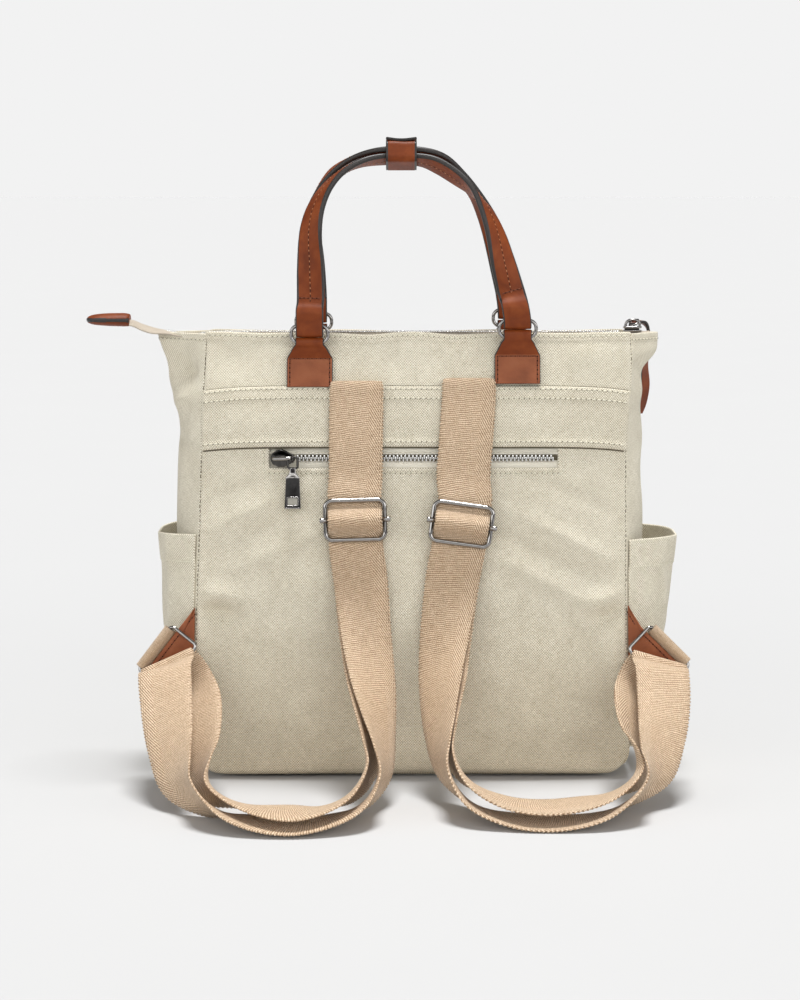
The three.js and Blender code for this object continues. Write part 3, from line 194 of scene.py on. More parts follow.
def slack(face, x, z):
    """How far the slack cloth of the back or the front stands out (+) or sinks in (-)."""
    x, z = np.asarray(x, float), np.asarray(z, float)
    if face < 0:
        w = 0.55 * np.sin(x / 61 + 0.6) * np.sin(z / 47 + 0.4) + 0.35 * np.sin(x / 29 + z / 44) * smooth(10, 60, z)
        # pull marks beside the lower strap anchors
        w = w - 3.4 * hill(x, z, -143, 123, 17, 6.5, -14) + 1.9 * hill(x, z, -142, 137, 19, 7, -10)
        w = w - 3.0 * hill(x, z, 143, 120, 17, 6.5, 16) + 1.6 * hill(x, z, 141, 134, 19, 7, 12)
        # drag lines that run up from the left seam to the zip, and between the straps
        for k, (x0, z0, h) in enumerate([(-118, 198, 1.0), (-108, 184, -0.95), (-98, 170, 0.85), (-124, 214, -0.8), (118, 176, 1.0), (106, 160, -0.95), (98, 146, 0.8), (122, 206, -0.7)]):
            w = w + h * hill(x, z, x0, z0, 40, 5.5, 24 if x0 < 0 else -26)
        # the foot of the panel rolls out a little over the base
        w = w + 0.8 * np.exp(-((z - 20) / 13) ** 2) * np.cos(x / 37.0) + 0.9 * hill(x, z, -95, 34, 46, 15, 4) + 0.8 * hill(x, z, 96, 31, 46, 14, -5)
        # above the yoke the panel is drawn in between the handle tabs
        w = w - 0.9 * hill(x, z, -8, 306, 46, 13) - 0.8 * hill(x, z, -128, 307, 13, 10, 20) + 0.6 * hill(x, z, 128, 309, 17, 11)
    else:
        w = 0.9 * np.sin(x / 66 - 0.5) * np.sin(z / 52 + 0.9) + 0.5 * np.sin(x / 33 - z / 41) * smooth(10, 60, z)
        w = w + 1.2 * hill(x, z, 70, 60, 60, 20, 10) - 1.0 * hill(x, z, -60, 110, 70, 12, -18) + 0.9 * hill(x, z, 40, 180, 80, 14, 12)
    edge = np.minimum(x - seam(-1, z), seam(1, z) - x)
    return 2.0 * w * smooth(0, 14, edge) * smooth(0, 9, z) * smooth(TOP_Z + 2, TOP_Z - 12, z)


def skin_y(face, x, z):
    return face_y(face, x, z) + face * slack(face, x, z)


def skin_point(face, x, z, off=0.0):
    """Points on the back or front cloth, off its outside by off, and the way it faces."""
    x, z = np.asarray(x, float), np.asarray(z, float)
    e = 0.8
    p = np.stack([x, skin_y(face, x, z), z], -1)
    dx = np.stack([np.full_like(x, 2 * e), skin_y(face, x + e, z) - skin_y(face, x - e, z), np.zeros_like(x)], -1)
    dz = np.stack([np.zeros_like(x), skin_y(face, x, z + e) - skin_y(face, x, z - e), np.full_like(x, 2 * e)], -1)
    n = unit(np.cross(dx, dz)) * (1 if face < 0 else -1)
    return p + n * off, n


def gusset_x(side, t, z):
    s = np.abs(2 * t - 1)
    reach = at(SECTION, S_WL if side < 0 else S_WR, z) * (1 - s ** at(SECTION, S_P, z))
    for sd, dz0, dt0, deep, dz, dt in DENT:
        if sd == side:
            reach = reach - deep * np.exp(-((z - dz0) / dz) ** 2 - ((t - dt0) / dt) ** 2) * (1 - s ** 4)
    return at(SECTION, S_XL if side < 0 else S_XR, z) + side * np.maximum(0, reach)


def gusset_y(t, z):
    return (at(SECTION, S_D, z) - CANVAS - GAP) * (2 * t - 1)


def tape_z(x, y):
    x, y = np.asarray(x, float), np.asarray(y, float)
    return at(TAPE, 2, x) - 1.2 * np.minimum(1, np.abs(y) / 8) - np.where(np.abs(x) < 150, 1.6 * np.maximum(0, np.abs(y) - 8) / 13, 0)


# ----------------------------------------------------------------------------
# Meshes
# ----------------------------------------------------------------------------
def make(name, verts, faces, mats, uv=None, index=None, shade=True, body="bag", slot=None, replaces=()):
    """A mesh piece from points in mm. faces is a list of (n, 3) or (n, 4) arrays, index the material of each face."""
    groups = [np.asarray(f, np.int64) for f in (faces if isinstance(faces, list) else [faces]) if len(f)]
    sizes = np.concatenate([np.full(len(f), f.shape[1]) for f in groups])
    loops = np.concatenate([f.ravel() for f in groups])
    starts = np.concatenate([[0], np.cumsum(sizes)[:-1]])
    me = bpy.data.meshes.new(name)
    me.vertices.add(len(verts))
    me.vertices.foreach_set("co", (np.asarray(verts, float) * MM).astype(np.float32).ravel())
    me.loops.add(len(loops))
    me.loops.foreach_set("vertex_index", loops.astype(np.int32))
    me.polygons.add(len(sizes))
    me.polygons.foreach_set("loop_start", starts.astype(np.int32))
    me.polygons.foreach_set("use_smooth", np.full(len(sizes), bool(shade)))
    mats = mats if isinstance(mats, (list, tuple)) else [mats]
    for m in mats:
        me.materials.append(m)
    if index is not None:
        me.polygons.foreach_set("material_index", np.asarray(index, np.int32))
    if uv is not None:
        layer = me.uv_layers.new(name="UVMap")
        layer.data.foreach_set("uv", np.asarray(uv, np.float32)[loops].ravel())
    me.update(calc_edges=True)
    me.validate()
    ob = bpy.data.objects.new(name, me)
    bpy.context.scene.collection.objects.link(ob)
    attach(ob, body)
    if replaces:
        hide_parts(*replaces)
    return ob


def grid_normals(P):
    du = np.gradient(P, axis=0)
    dv = np.gradient(P, axis=1)
    return unit(np.cross(du, dv))


def shell(name, P, uv, mats, thick=CANVAS, flip=False, keep=None, rim=3, tint=None, **kw):
    """A closed wall of cloth: P is the outside as a grid of points, the rim is a half round fold.
    keep says which cells of the grid are there."""
    nu, nv = P.shape[:2]
    N = grid_normals(P) * (-1 if flip else 1)
    keep = np.ones((nu - 1, nv - 1), bool) if keep is None else keep
    ids = np.arange(nu * nv).reshape(nu, nv)
    out, inn = P.reshape(-1, 3), (P - N * thick).reshape(-1, 3)
    a, b, c, d = ids[:-1, :-1][keep], ids[1:, :-1][keep], ids[1:, 1:][keep], ids[:-1, 1:][keep]
    front = np.stack([a, d, c, b] if flip else [a, b, c, d], -1)
    # edges met by one cell only are the rim
    e = np.concatenate([front[:, [0, 1]], front[:, [1, 2]], front[:, [2, 3]], front[:, [3, 0]]])
    key = np.sort(e, 1)
    code = key[:, 0] * (nu * nv) + key[:, 1]
    _, first, count = np.unique(code, return_index=True, return_counts=True)
    e = e[first[count == 1]]
    flatN = N.reshape(-1, 3)
    T = np.zeros_like(out)
    way = unit(np.cross(out[e[:, 1]] - out[e[:, 0]], flatN[e[:, 0]]))
    np.add.at(T, e[:, 0], way)
    np.add.at(T, e[:, 1], way)
    T = unit(T)
    used = np.unique(e)
    place = np.full(nu * nv, -1)
    place[used] = np.arange(len(used))
    verts, uvs = [out, inn], [uv.reshape(-1, 2), uv.reshape(-1, 2)]
    rings, base = [np.arange(nu * nv)], 2 * nu * nv
    for k in range(1, rim + 1):
        q = math.pi * k / (rim + 1)
        ring = out[used] - flatN[used] * thick / 2 + (flatN[used] * math.cos(q) + T[used] * math.sin(q)) * thick / 2
        verts.append(ring)
        uvs.append(uv.reshape(-1, 2)[used] + 0.4 * k)
        look = np.full(nu * nv, -1)
        look[used] = base + np.arange(len(used))
        rings.append(look)
        base += len(used)
    rings.append(np.arange(nu * nv) + nu * nv)
    faces = [front, (front + nu * nv)[:, ::-1]]
    for k in range(len(rings) - 1):
        faces.append(np.stack([rings[k][e[:, 0]], rings[k + 1][e[:, 0]], rings[k + 1][e[:, 1]], rings[k][e[:, 1]]], -1))
    verts, uvs = np.concatenate(verts), np.concatenate(uvs)
    faces = np.concatenate(faces)
    # drop points that no face uses
    hit = np.zeros(len(verts), bool)
    hit[faces.ravel()] = True
    new = np.cumsum(hit) - 1
    return make(name, verts[hit], new[faces], mats, uv=uvs[hit], **kw)


def catmull(points, per):
    """Centripetal Catmull-Rom through points, per[i] samples on stretch i."""
    pts = np.asarray(points, float)
    P = np.vstack([2 * pts[0] - pts[1], pts, 2 * pts[-1] - pts[-2]])
    out = []
    for i in range(len(pts) - 1):
        p0, p1, p2, p3 = P[i:i + 4]
        d = [max(np.linalg.norm(b - a), 1e-8) ** 0.5 for a, b in ((p0, p1), (p1, p2), (p2, p3))]
        d1 = d[1] if d[1] > 1e-4 else 1.0
        d0 = d[0] if d[0] > 1e-4 else d1
        d2 = d[2] if d[2] > 1e-4 else d1
        t1 = ((p1 - p0) / d0 - (p2 - p0) / (d0 + d1) + (p2 - p1) / d1) * d1
        t2 = ((p2 - p1) / d1 - (p3 - p1) / (d1 + d2) + (p3 - p2) / d2) * d1
        w = np.linspace(0, 1, per[i], endpoint=False)[:, None]
        out.append(p1 + t1 * w + (-3 * p1 + 3 * p2 - 2 * t1 - t2) * w ** 2 + (2 * p1 - 2 * p2 + t1 + t2) * w ** 3)
    out.append(pts[-1][None])
    return np.vstack(out)


def row_mid(r):
    return (r["p"] + r["q"]) / 2 if "p" in r else r["c"]


def strip_lines(rows, width, thick, step):
    """Two edge lines, thickness, arc length and facing of a strip of flat material, at an even step."""
    mids = [row_mid(r) for r in rows]
    L, R = [], []
    for i, r in enumerate(rows):
        if "p" in r:
            L.append(r["p"]); R.append(r["q"])
            continue
        along = mids[min(len(rows) - 1, i + 1)] - mids[max(0, i - 1)]
        across = unit(np.cross(along, r["n"])) * r.get("w", width) / 2
        L.append(mids[i] - across); R.append(mids[i] + across)
    per = [max(6, int(np.linalg.norm(mids[i + 1] - mids[i]) / 0.4)) for i in range(len(rows) - 1)]
    left, right = catmull(L, per), catmull(R, per)
    t = np.concatenate([np.linspace(rows[i].get("t", thick), rows[i + 1].get("t", thick), per[i], endpoint=False) for i in range(len(rows) - 1)] + [[rows[-1].get("t", thick)]])
    mid = (left + right) / 2
    s = np.concatenate([[0], np.cumsum(np.linalg.norm(np.diff(mid, axis=0), axis=1))])
    n = max(4, int(round(s[-1] / step)))
    even = np.linspace(0, s[-1], n + 1)
    pick = lambda a: np.stack([np.interp(even, s, a[:, k]) for k in range(a.shape[1])], -1)
    left, right, t = pick(left), pick(right), np.interp(even, s, t)
    along = np.gradient((left + right) / 2, axis=0)
    out = unit(np.cross(right - left, along))
    return left, right, t, even, out


def soften(a, times):
    a = a.copy()
    for _ in range(times):
        a[1:-1] = (a[:-2] + 2 * a[1:-1] + a[2:]) / 4
    return a


def tube(sections, ring=False, caps=True, uv_v=None, uv_u=None, flip=False):
    """Skin over sections (n, m, 3); caps close the ends. Returns verts, faces, uv."""
    S = np.asarray(sections, float)
    n, m = S.shape[:2]
    verts = S.reshape(-1, 3)
    i = np.arange(n if ring else n - 1)
    k = (i + 1) % n
    j = np.arange(m)
    jn = (j + 1) % m
    a = (i[:, None] * m + j).ravel(); b = (i[:, None] * m + jn).ravel()
    c = (k[:, None] * m + jn).ravel(); d = (k[:, None] * m + j).ravel()
    quads = np.stack([a, b, c, d], -1)
    faces = [quads]
    v = np.arange(n, dtype=float) if uv_v is None else np.asarray(uv_v, float)
    u = np.arange(m, dtype=float) if uv_u is None else np.asarray(uv_u, float)
    uv = np.stack(np.meshgrid(u, v), -1).reshape(-1, 2)
    if not ring and caps:
        c0, c1 = len(verts), len(verts) + 1
        verts = np.vstack([verts, S[0].mean(0), S[-1].mean(0)])
        uv = np.vstack([uv, [u.mean(), v[0]], [u.mean(), v[-1]]])
        faces.append(np.stack([np.full(m, c0), jn, j], -1))
        faces.append(np.stack([np.full(m, c1), (n - 1) * m + j, (n - 1) * m + jn], -1))
    if flip:
        faces = [f[:, ::-1] for f in faces]
    return verts, faces, uv


def outward(verts, faces):
    """Faces turned so that the closed skin faces out."""
    vol = 0.0
    for f in faces:
        p = verts[f]
        vol += np.einsum("ij,ij->i", p[:, 0], np.cross(p[:, 1], p[:, 2])).sum()
        if f.shape[1] == 4:
            vol += np.einsum("ij,ij->i", p[:, 0], np.cross(p[:, 2], p[:, 3])).sum()
    return faces if vol > 0 else [f[:, ::-1] for f in faces]


class Heap:
    """Many small closed shapes gathered into one piece."""

    def __init__(self):
        self.v, self.f3, self.f4, self.uv, self.m3, self.m4, self.n = [], [], [], [], [], [], 0

    def add(self, verts, faces, uv=None, mat=0):
        verts = np.asarray(verts, float)
        for f in faces:
            f = np.asarray(f)
            (self.f3 if f.shape[1] == 3 else self.f4).append(f + self.n)
            (self.m3 if f.shape[1] == 3 else self.m4).append(np.full(len(f), mat))
        self.v.append(verts)
        self.uv.append(np.zeros((len(verts), 2)) if uv is None else np.asarray(uv, float))
        self.n += len(verts)

    def make(self, name, mats, **kw):
        groups, idx = [], []
        if self.f4:
            groups.append(np.concatenate(self.f4)); idx.append(np.concatenate(self.m4))
        if self.f3:
            groups.append(np.concatenate(self.f3)); idx.append(np.concatenate(self.m3))
        return make(name, np.concatenate(self.v), groups, mats, uv=np.concatenate(self.uv), index=np.concatenate(idx), **kw)


def ellipsoid(rings=5, sides=8):
    q = np.linspace(0, math.pi, rings + 2)[1:-1]
    a = np.linspace(0, 2 * math.pi, sides, endpoint=False)
    sec = np.stack([np.stack([np.full(sides, math.cos(x)), math.sin(x) * np.cos(a), math.sin(x) * np.sin(a)], -1) for x in q])
    verts, faces, uv = tube(sec, caps=False)
    n0, m = len(verts), sides
    verts = np.vstack([verts, [1, 0, 0], [-1, 0, 0]])
    j = np.arange(m); jn = (j + 1) % m
    faces.append(np.stack([np.full(m, n0), jn, j], -1))
    faces.append(np.stack([np.full(m, n0 + 1), (rings - 1) * m + j, (rings - 1) * m + jn], -1))
    return verts, outward(verts, faces)


LENS = ellipsoid(4, 6)
BEAD = ellipsoid(5, 8)


def stitch_run(heap, P, N, pitch, length, radius, lift=0.1, hole=None, thread_mat=0, hole_mat=1, skew=0.0, hole_long=0.9):
    """Thread stitches with their needle holes along a line of points P on cloth that faces N."""
    P, N = np.asarray(P, float), np.asarray(N, float)
    s = np.concatenate([[0], np.cumsum(np.linalg.norm(np.diff(P, axis=0), axis=1))])
    n = max(1, int(round(s[-1] / pitch)))
    step = s[-1] / n
    get = lambda q, A: np.stack([np.interp(q, s, A[:, k]) for k in range(3)], -1)
    verts, faces = LENS
    for k in range(n):
        c, a, b = (get((k + w) * step, P) for w in (0.5, 0.5 - 0.48 * length / pitch, 0.5 + 0.48 * length / pitch))
        nn = unit(get((k + 0.5) * step, N))
        t = unit(b - a)
        side = unit(np.cross(nn, t))
        t = unit(t + side * skew)
        side = unit(np.cross(nn, t))
        arch = lift * (1 - verts[:, 0] ** 2) - 0.35 * radius * verts[:, 0] ** 4
        v = c + verts[:, :1] * t * length / 2 + verts[:, 1:2] * side * radius + (verts[:, 2:3] * radius * 0.8 + arch[:, None]) * nn
        heap.add(v, faces, mat=thread_mat)
        if hole:
            h = get(k * step, P)
            hn = unit(get(k * step, N))
            hs = unit(np.cross(hn, t))
            v = h + verts[:, :1] * t * hole * hole_long + verts[:, 1:2] * hs * hole * 0.8 + verts[:, 2:3] * hn * 0.1
            heap.add(v, faces, mat=hole_mat)


def wire_loop(path, radius, plane, sides=14, ring=True):
    P = np.asarray(path, float)
    n = len(P)
    i = np.arange(n)
    a = P[(i - 1) % n] if ring else P[np.maximum(0, i - 1)]
    b = P[(i + 1) % n] if ring else P[np.minimum(n - 1, i + 1)]
    along = unit(b - a)
    side = unit(np.cross(along, plane))
    up = unit(np.cross(side, along))
    q = np.linspace(0, 2 * math.pi, sides, endpoint=False)
    r = radius if np.ndim(radius) else np.full(n, radius)
    sec = P[:, None] + (side[:, None] * np.cos(q)[None, :, None] + up[:, None] * np.sin(q)[None, :, None]) * np.asarray(r)[:, None, None]
    s = np.concatenate([[0], np.cumsum(np.linalg.norm(np.diff(P, axis=0), axis=1))])
    verts, faces, uv = tube(sec, ring=ring, uv_v=s, uv_u=q * radius if not np.ndim(radius) else q)
    return verts, outward(verts, faces), uv


def rounded_loop(centre, ex, ey, w, h, r, corner=10, straight=10):
    out = []
    corners = [(1, 1, 0), (-1, 1, 90), (-1, -1, 180), (1, -1, 270)]
    for idx, (sx, sy, q0) in enumerate(corners):
        for k in range(corner + 1):
            q = rad(q0 + 90 * k / corner)
            out.append(centre + ex * (sx * (w / 2 - r) + r * math.cos(q)) + ey * (sy * (h / 2 - r) + r * math.sin(q)))
        nx, ny, nq = corners[(idx + 1) % 4]
        a = out[-1]
        q = rad(nq)
        b = centre + ex * (nx * (w / 2 - r) + r * math.cos(q)) + ey * (ny * (h / 2 - r) + r * math.sin(q))
        for k in range(1, straight):
            out.append(a + (b - a) * k / straight)
    return np.array(out)


# ----------------------------------------------------------------------------
# Materials
# ----------------------------------------------------------------------------
class Nodes:
    """A material's shader, put together from its coordinates (UV in millimetres)."""

    def __init__(self, name, **values):
        self.m = bpy.data.materials.new(name)
        self.m.use_nodes = True
        self.t = self.m.node_tree
        self.t.nodes.clear()
        self.out = self.t.nodes.new("ShaderNodeOutputMaterial")
        self.b = self.t.nodes.new("ShaderNodeBsdfPrincipled")
        self.t.links.new(self.b.outputs[0], self.out.inputs[0])
        for k, v in values.items():
            self.b.inputs[k.replace("_", " ")].default_value = v

    def node(self, kind, **props):
        n = self.t.nodes.new(kind)
        for k, v in props.items():
            setattr(n, k, v)
        return n

    def put(self, value, socket):
        if isinstance(value, bpy.types.NodeSocket):
            self.t.links.new(value, socket)
        else:
            socket.default_value = value

    def math(self, op, a, b=None, c=None, clamp=False):
        n = self.node("ShaderNodeMath", operation=op, use_clamp=clamp)
        for k, x in enumerate((a, b, c)):
            if x is not None:
                self.put(x, n.inputs[k])
        return n.outputs[0]

    def uv(self):
        n = self.node("ShaderNodeUVMap")
        s = self.node("ShaderNodeSeparateXYZ")
        self.t.links.new(n.outputs[0], s.inputs[0])
        return n.outputs[0], s.outputs[0], s.outputs[1]

    def object_mm(self):
        n = self.node("ShaderNodeTexCoord")
        m = self.node("ShaderNodeVectorMath", operation="SCALE")
        self.t.links.new(n.outputs["Object"], m.inputs[0])
        m.inputs["Scale"].default_value = 1000.0
        return m.outputs[0]

    def vec(self, x, y, z=0.0):
        n = self.node("ShaderNodeCombineXYZ")
        for k, v in enumerate((x, y, z)):
            self.put(v, n.inputs[k])
        return n.outputs[0]

    def noise(self, vector, scale=1.0, detail=3.0, rough=0.55, distort=0.0):
        n = self.node("ShaderNodeTexNoise")
        self.t.links.new(vector, n.inputs["Vector"])
        n.inputs["Scale"].default_value = scale
        n.inputs["Detail"].default_value = detail
        n.inputs["Roughness"].default_value = rough
        n.inputs["Distortion"].default_value = distort
        return n.outputs[0]

    def voronoi(self, vector, scale=1.0, feature="F1", out=0):
        n = self.node("ShaderNodeTexVoronoi", feature=feature)
        self.t.links.new(vector, n.inputs["Vector"])
        n.inputs["Scale"].default_value = scale
        return n.outputs[out]

    def ramp(self, value, stops, mode="LINEAR"):
        n = self.node("ShaderNodeValToRGB")
        n.color_ramp.interpolation = mode
        el = n.color_ramp.elements
        while len(el) < len(stops):
            el.new(0.5)
        for e, (p, c) in zip(el, stops):
            e.position = p
            e.color = (*c, 1.0)
        self.put(value, n.inputs[0])
        return n.outputs[0]

    def mix(self, fac, a, b, kind="MIX"):
        n = self.node("ShaderNodeMix", data_type="RGBA", blend_type=kind)
        self.put(fac, n.inputs[0])
        for v, s in ((a, n.inputs[6]), (b, n.inputs[7])):
            self.put(v if isinstance(v, bpy.types.NodeSocket) else (*v, 1.0), s)
        return n.outputs[2]

    def wave(self, value, period, phase=0.0):
        return self.math("SINE", self.math("MULTIPLY_ADD", value, 2 * math.pi / period, phase))

    def bump(self, height, strength, distance, normal=None):
        n = self.node("ShaderNodeBump")
        n.inputs["Strength"].default_value = strength
        n.inputs["Distance"].default_value = distance
        self.t.links.new(height, n.inputs["Height"])
        if normal is not None:
            self.t.links.new(normal, n.inputs["Normal"])
        return n.outputs[0]

    def colour(self, c):
        self.put(c, self.b.inputs["Base Color"])

    def rough(self, r):
        self.put(r, self.b.inputs["Roughness"])

    def normal(self, n):
        self.put(n, self.b.inputs["Normal"])


def canvas_material(name, dark, mid, light, period=(1.85, 2.0), strength=0.85):
    """Plain-weave cotton canvas: bright float dots in staggered rows, slubs along both yarns."""
    k = Nodes(name, Roughness=0.92, Specular_IOR_Level=0.15, Sheen_Weight=0.12, Sheen_Roughness=0.5)
    vec, u, v = k.uv()
    sway = k.noise(vec, 0.09, 2.0)
    uu = k.math("MULTIPLY_ADD", sway, 1.1, u)
    vv = k.math("MULTIPLY_ADD", k.noise(vec, 0.11, 2.0), 1.0, v)
    cell = k.math("MULTIPLY", k.wave(uu, period[0]), k.wave(vv, period[1]))
    weft = k.noise(k.vec(k.math("MULTIPLY", u, 0.22), k.math("MULTIPLY", v, 1.9)), 1.0, 3.0, 0.6)
    warp = k.noise(k.vec(k.math("MULTIPLY", u, 2.1), k.math("MULTIPLY", v, 0.2)), 1.0, 3.0, 0.6)
    fleck = k.noise(vec, 1.7, 2.0, 0.7)
    f = k.math("MULTIPLY_ADD", cell, 0.38, 0.5)
    f = k.math("ADD", f, k.math("MULTIPLY", k.math("SUBTRACT", weft, 0.5), 0.72))
    f = k.math("ADD", f, k.math("MULTIPLY", k.math("SUBTRACT", warp, 0.5), 0.42))
    f = k.math("ADD", f, k.math("MULTIPLY", k.math("SUBTRACT", fleck, 0.5), 0.5), clamp=True)
    col = k.ramp(f, [(0.08, dark), (0.5, mid), (0.92, light)])
    wide = k.noise(vec, 0.018, 3.0, 0.5)
    col = k.mix(k.math("MULTIPLY_ADD", wide, 0.9, -0.2, clamp=True), col, (0.90, 0.88, 0.84), "MULTIPLY")
    patch = k.noise(vec, 0.055, 3.0, 0.6, 0.6)
    col = k.mix(1.0, col, k.ramp(patch, [(0.32, (0.90, 0.89, 0.875)), (0.68, (1.0, 1.0, 1.0))]), "MULTIPLY")
    # painted shade: the cloth is made darker and browner towards the foot, standing in for the shade near the floor
    wear_and_painted_shade = k.ramp(k.math("DIVIDE", k.math("MULTIPLY_ADD", wide, 40.0, v), 150.0), [(0.08, (0.97, 0.905, 0.83)), (0.40, (0.985, 0.955, 0.915)), (1.0, (1.0, 1.0, 1.0))])
    col = k.mix(1.0, col, wear_and_painted_shade, "MULTIPLY")
    k.colour(col)
    h = k.math("ADD", k.math("MULTIPLY", cell, 0.5), k.math("ADD", weft, k.math("MULTIPLY", warp, 0.8)))
    k.normal(k.bump(h, strength, 0.00032))
    return k.m


def webbing_material(name, dark, mid, light, twill=1.0):
    """Flat webbing with a satin face: fine slanted yarns, stronger ribs along both edges, light bound selvedge."""
    k = Nodes(name, Roughness=0.56, Specular_IOR_Level=0.4, Sheen_Weight=0.15, Sheen_Roughness=0.4)
    vec, u, v = k.uv()
    w = k.math("MULTIPLY_ADD", k.noise(vec, 0.14, 2.0), 1.6, v)
    side = k.ramp(k.math("DIVIDE", k.math("MULTIPLY", u, -1.0), 20.0), [(0.0, (0, 0, 0)), (0.40, (0, 0, 0)), (0.52, (1, 1, 1))])
    slant = k.wave(k.math("ADD", k.math("MULTIPLY", u, 1.0), k.math("MULTIPLY", w, 0.62)), 1.75)
    fine = k.wave(k.math("ADD", k.math("MULTIPLY", u, -0.16), w), 1.5)
    ribs = k.math("MULTIPLY", k.math("MULTIPLY_ADD", side, -0.7, 1.0), fine)
    twills = k.math("MULTIPLY", k.math("MULTIPLY_ADD", side, 0.85, 0.15), slant)
    yarn = k.noise(k.vec(k.math("MULTIPLY", u, 1.3), k.math("MULTIPLY", v, 0.12)), 1.0, 3.0, 0.6)
    pick = k.noise(k.vec(k.math("MULTIPLY", u, 0.14), k.math("MULTIPLY", v, 1.2)), 1.0, 2.0, 0.6)
    fleck = k.noise(vec, 1.15, 3.0, 0.75)
    f = k.math("MULTIPLY_ADD", twills, 0.32 * twill, 0.5)
    f = k.math("ADD", f, k.math("MULTIPLY", ribs, 0.24))
    f = k.math("ADD", f, k.math("MULTIPLY", k.math("SUBTRACT", yarn, 0.5), 0.45))
    f = k.math("ADD", f, k.math("MULTIPLY", k.math("SUBTRACT", pick, 0.5), 0.55))
    f = k.math("ADD", f, k.math("MULTIPLY", k.math("SUBTRACT", fleck, 0.5), 0.9), clamp=True)
    col = k.ramp(f, [(0.1, dark), (0.5, mid), (0.9, light)])
    wide = k.noise(vec, 0.03, 2.0, 0.5)
    col = k.mix(k.math("MULTIPLY_ADD", wide, 0.6, -0.15, clamp=True), col, (0.94, 0.90, 0.85), "MULTIPLY")
    k.colour(col)
    h = k.math("ADD", k.math("MULTIPLY", twills, 0.6), k.math("ADD", k.math("MULTIPLY", ribs, 0.6), k.math("ADD", fleck, yarn)))
    k.normal(k.bump(h, 0.7, 0.0004))
    return k.m


def leather_material(name, deep, base, wear_and_painted_shade, rough=0.46, spec=0.3):
    """Smooth dyed leather with a fine pebble grain and a mottled finish."""
    k = Nodes(name, Specular_IOR_Level=spec, Coat_Weight=0.04, Coat_Roughness=0.35)
    vec, u, v = k.uv()
    grain = k.voronoi(vec, 1.35, "DISTANCE_TO_EDGE")
    small = k.noise(vec, 2.6, 4.0, 0.6)
    broad = k.noise(vec, 0.07, 4.0, 0.55, 0.4)
    f = k.math("ADD", k.math("MULTIPLY", broad, 1.3), k.math("MULTIPLY_ADD", small, 0.35, -0.32), clamp=True)
    # in the leather the lightest tone is its own wear, placed at random by the noise
    k.colour(k.ramp(f, [(0.15, deep), (0.5, base), (0.9, wear_and_painted_shade)]))
    k.rough(k.math("MULTIPLY_ADD", small, 0.22, rough - 0.11))
    h = k.math("ADD", k.math("MINIMUM", k.math("MULTIPLY", grain, 3.0), 1.0), k.math("MULTIPLY", small, 0.7))
    k.normal(k.bump(h, 0.32, 0.00022))
    return k.m


def simple_material(name, a, b, scale, rough, metal=0.0, bump=0.15, dist=0.0001, spec=0.5, stretch=(1, 1, 1), rough_span=0.12, coat=0.0):
    """A finish that varies with the place on the object: two tones, uneven gloss and a fine surface."""
    k = Nodes(name, Metallic=metal, Specular_IOR_Level=spec, Coat_Weight=coat)
    pos = k.object_mm()
    m = k.node("ShaderNodeMapping")
    m.inputs["Scale"].default_value = stretch
    k.t.links.new(pos, m.inputs[0])
    n = k.noise(m.outputs[0], scale, 4.0, 0.6)
    k.colour(k.ramp(n, [(0.3, a), (0.7, b)]))
    k.rough(k.math("MULTIPLY_ADD", n, rough_span, rough - rough_span / 2))
    k.normal(k.bump(k.noise(m.outputs[0], scale * 3, 3.0, 0.6), bump, dist))
    return k.m


def tape_material(name, dark, mid, light):
    """Woven zip tape: fine chevron ribs along its length."""
    k = Nodes(name, Roughness=0.85, Specular_IOR_Level=0.2, Sheen_Weight=0.1)
    vec, u, v = k.uv()
    rib = k.wave(v, 1.1)
    twill = k.wave(k.math("ADD", u, k.math("MULTIPLY", k.math("ABSOLUTE", k.math("PINGPONG", v, 2.2)), 0.9)), 1.0)
    n = k.noise(vec, 1.4, 3.0, 0.7)
    f = k.math("ADD", k.math("MULTIPLY_ADD", rib, 0.14, 0.5), k.math("ADD", k.math("MULTIPLY", twill, 0.12), k.math("MULTIPLY_ADD", n, 0.6, -0.3)), clamp=True)
    k.colour(k.ramp(f, [(0.1, dark), (0.5, mid), (0.9, light)]))
    k.normal(k.bump(k.math("ADD", rib, twill), 0.35, 0.0002))
    return k.m


CANVAS_M = canvas_material("canvas_weave", (0.33, 0.287, 0.195), (0.745, 0.687, 0.55), (1.0, 0.97, 0.87))
CANVAS_SIDE_M = canvas_material("canvas_weave_side", (0.34, 0.297, 0.205), (0.745, 0.692, 0.555), (1.0, 0.97, 0.87), period=(1.9, 2.0))
# painted shade: the yoke's canvas is a darker copy of the same weave, standing in for the shade on the turned yoke
CANVAS_YOKE_SHADED_M = canvas_material("canvas_weave_yoke", (0.305, 0.265, 0.178), (0.70, 0.645, 0.516), (0.98, 0.94, 0.83))
WEB_M = webbing_material("webbing_satin", (0.245, 0.150, 0.080), (0.515, 0.362, 0.23), (0.86, 0.69, 0.505))
LEATHER_M = leather_material("leather_brown", (0.115, 0.021, 0.003), (0.18, 0.035, 0.005), (0.255, 0.060, 0.012), spec=0.2)
TAB_M = leather_material("leather_brown_light", (0.19, 0.050, 0.016), (0.275, 0.079, 0.027), (0.35, 0.115, 0.046))
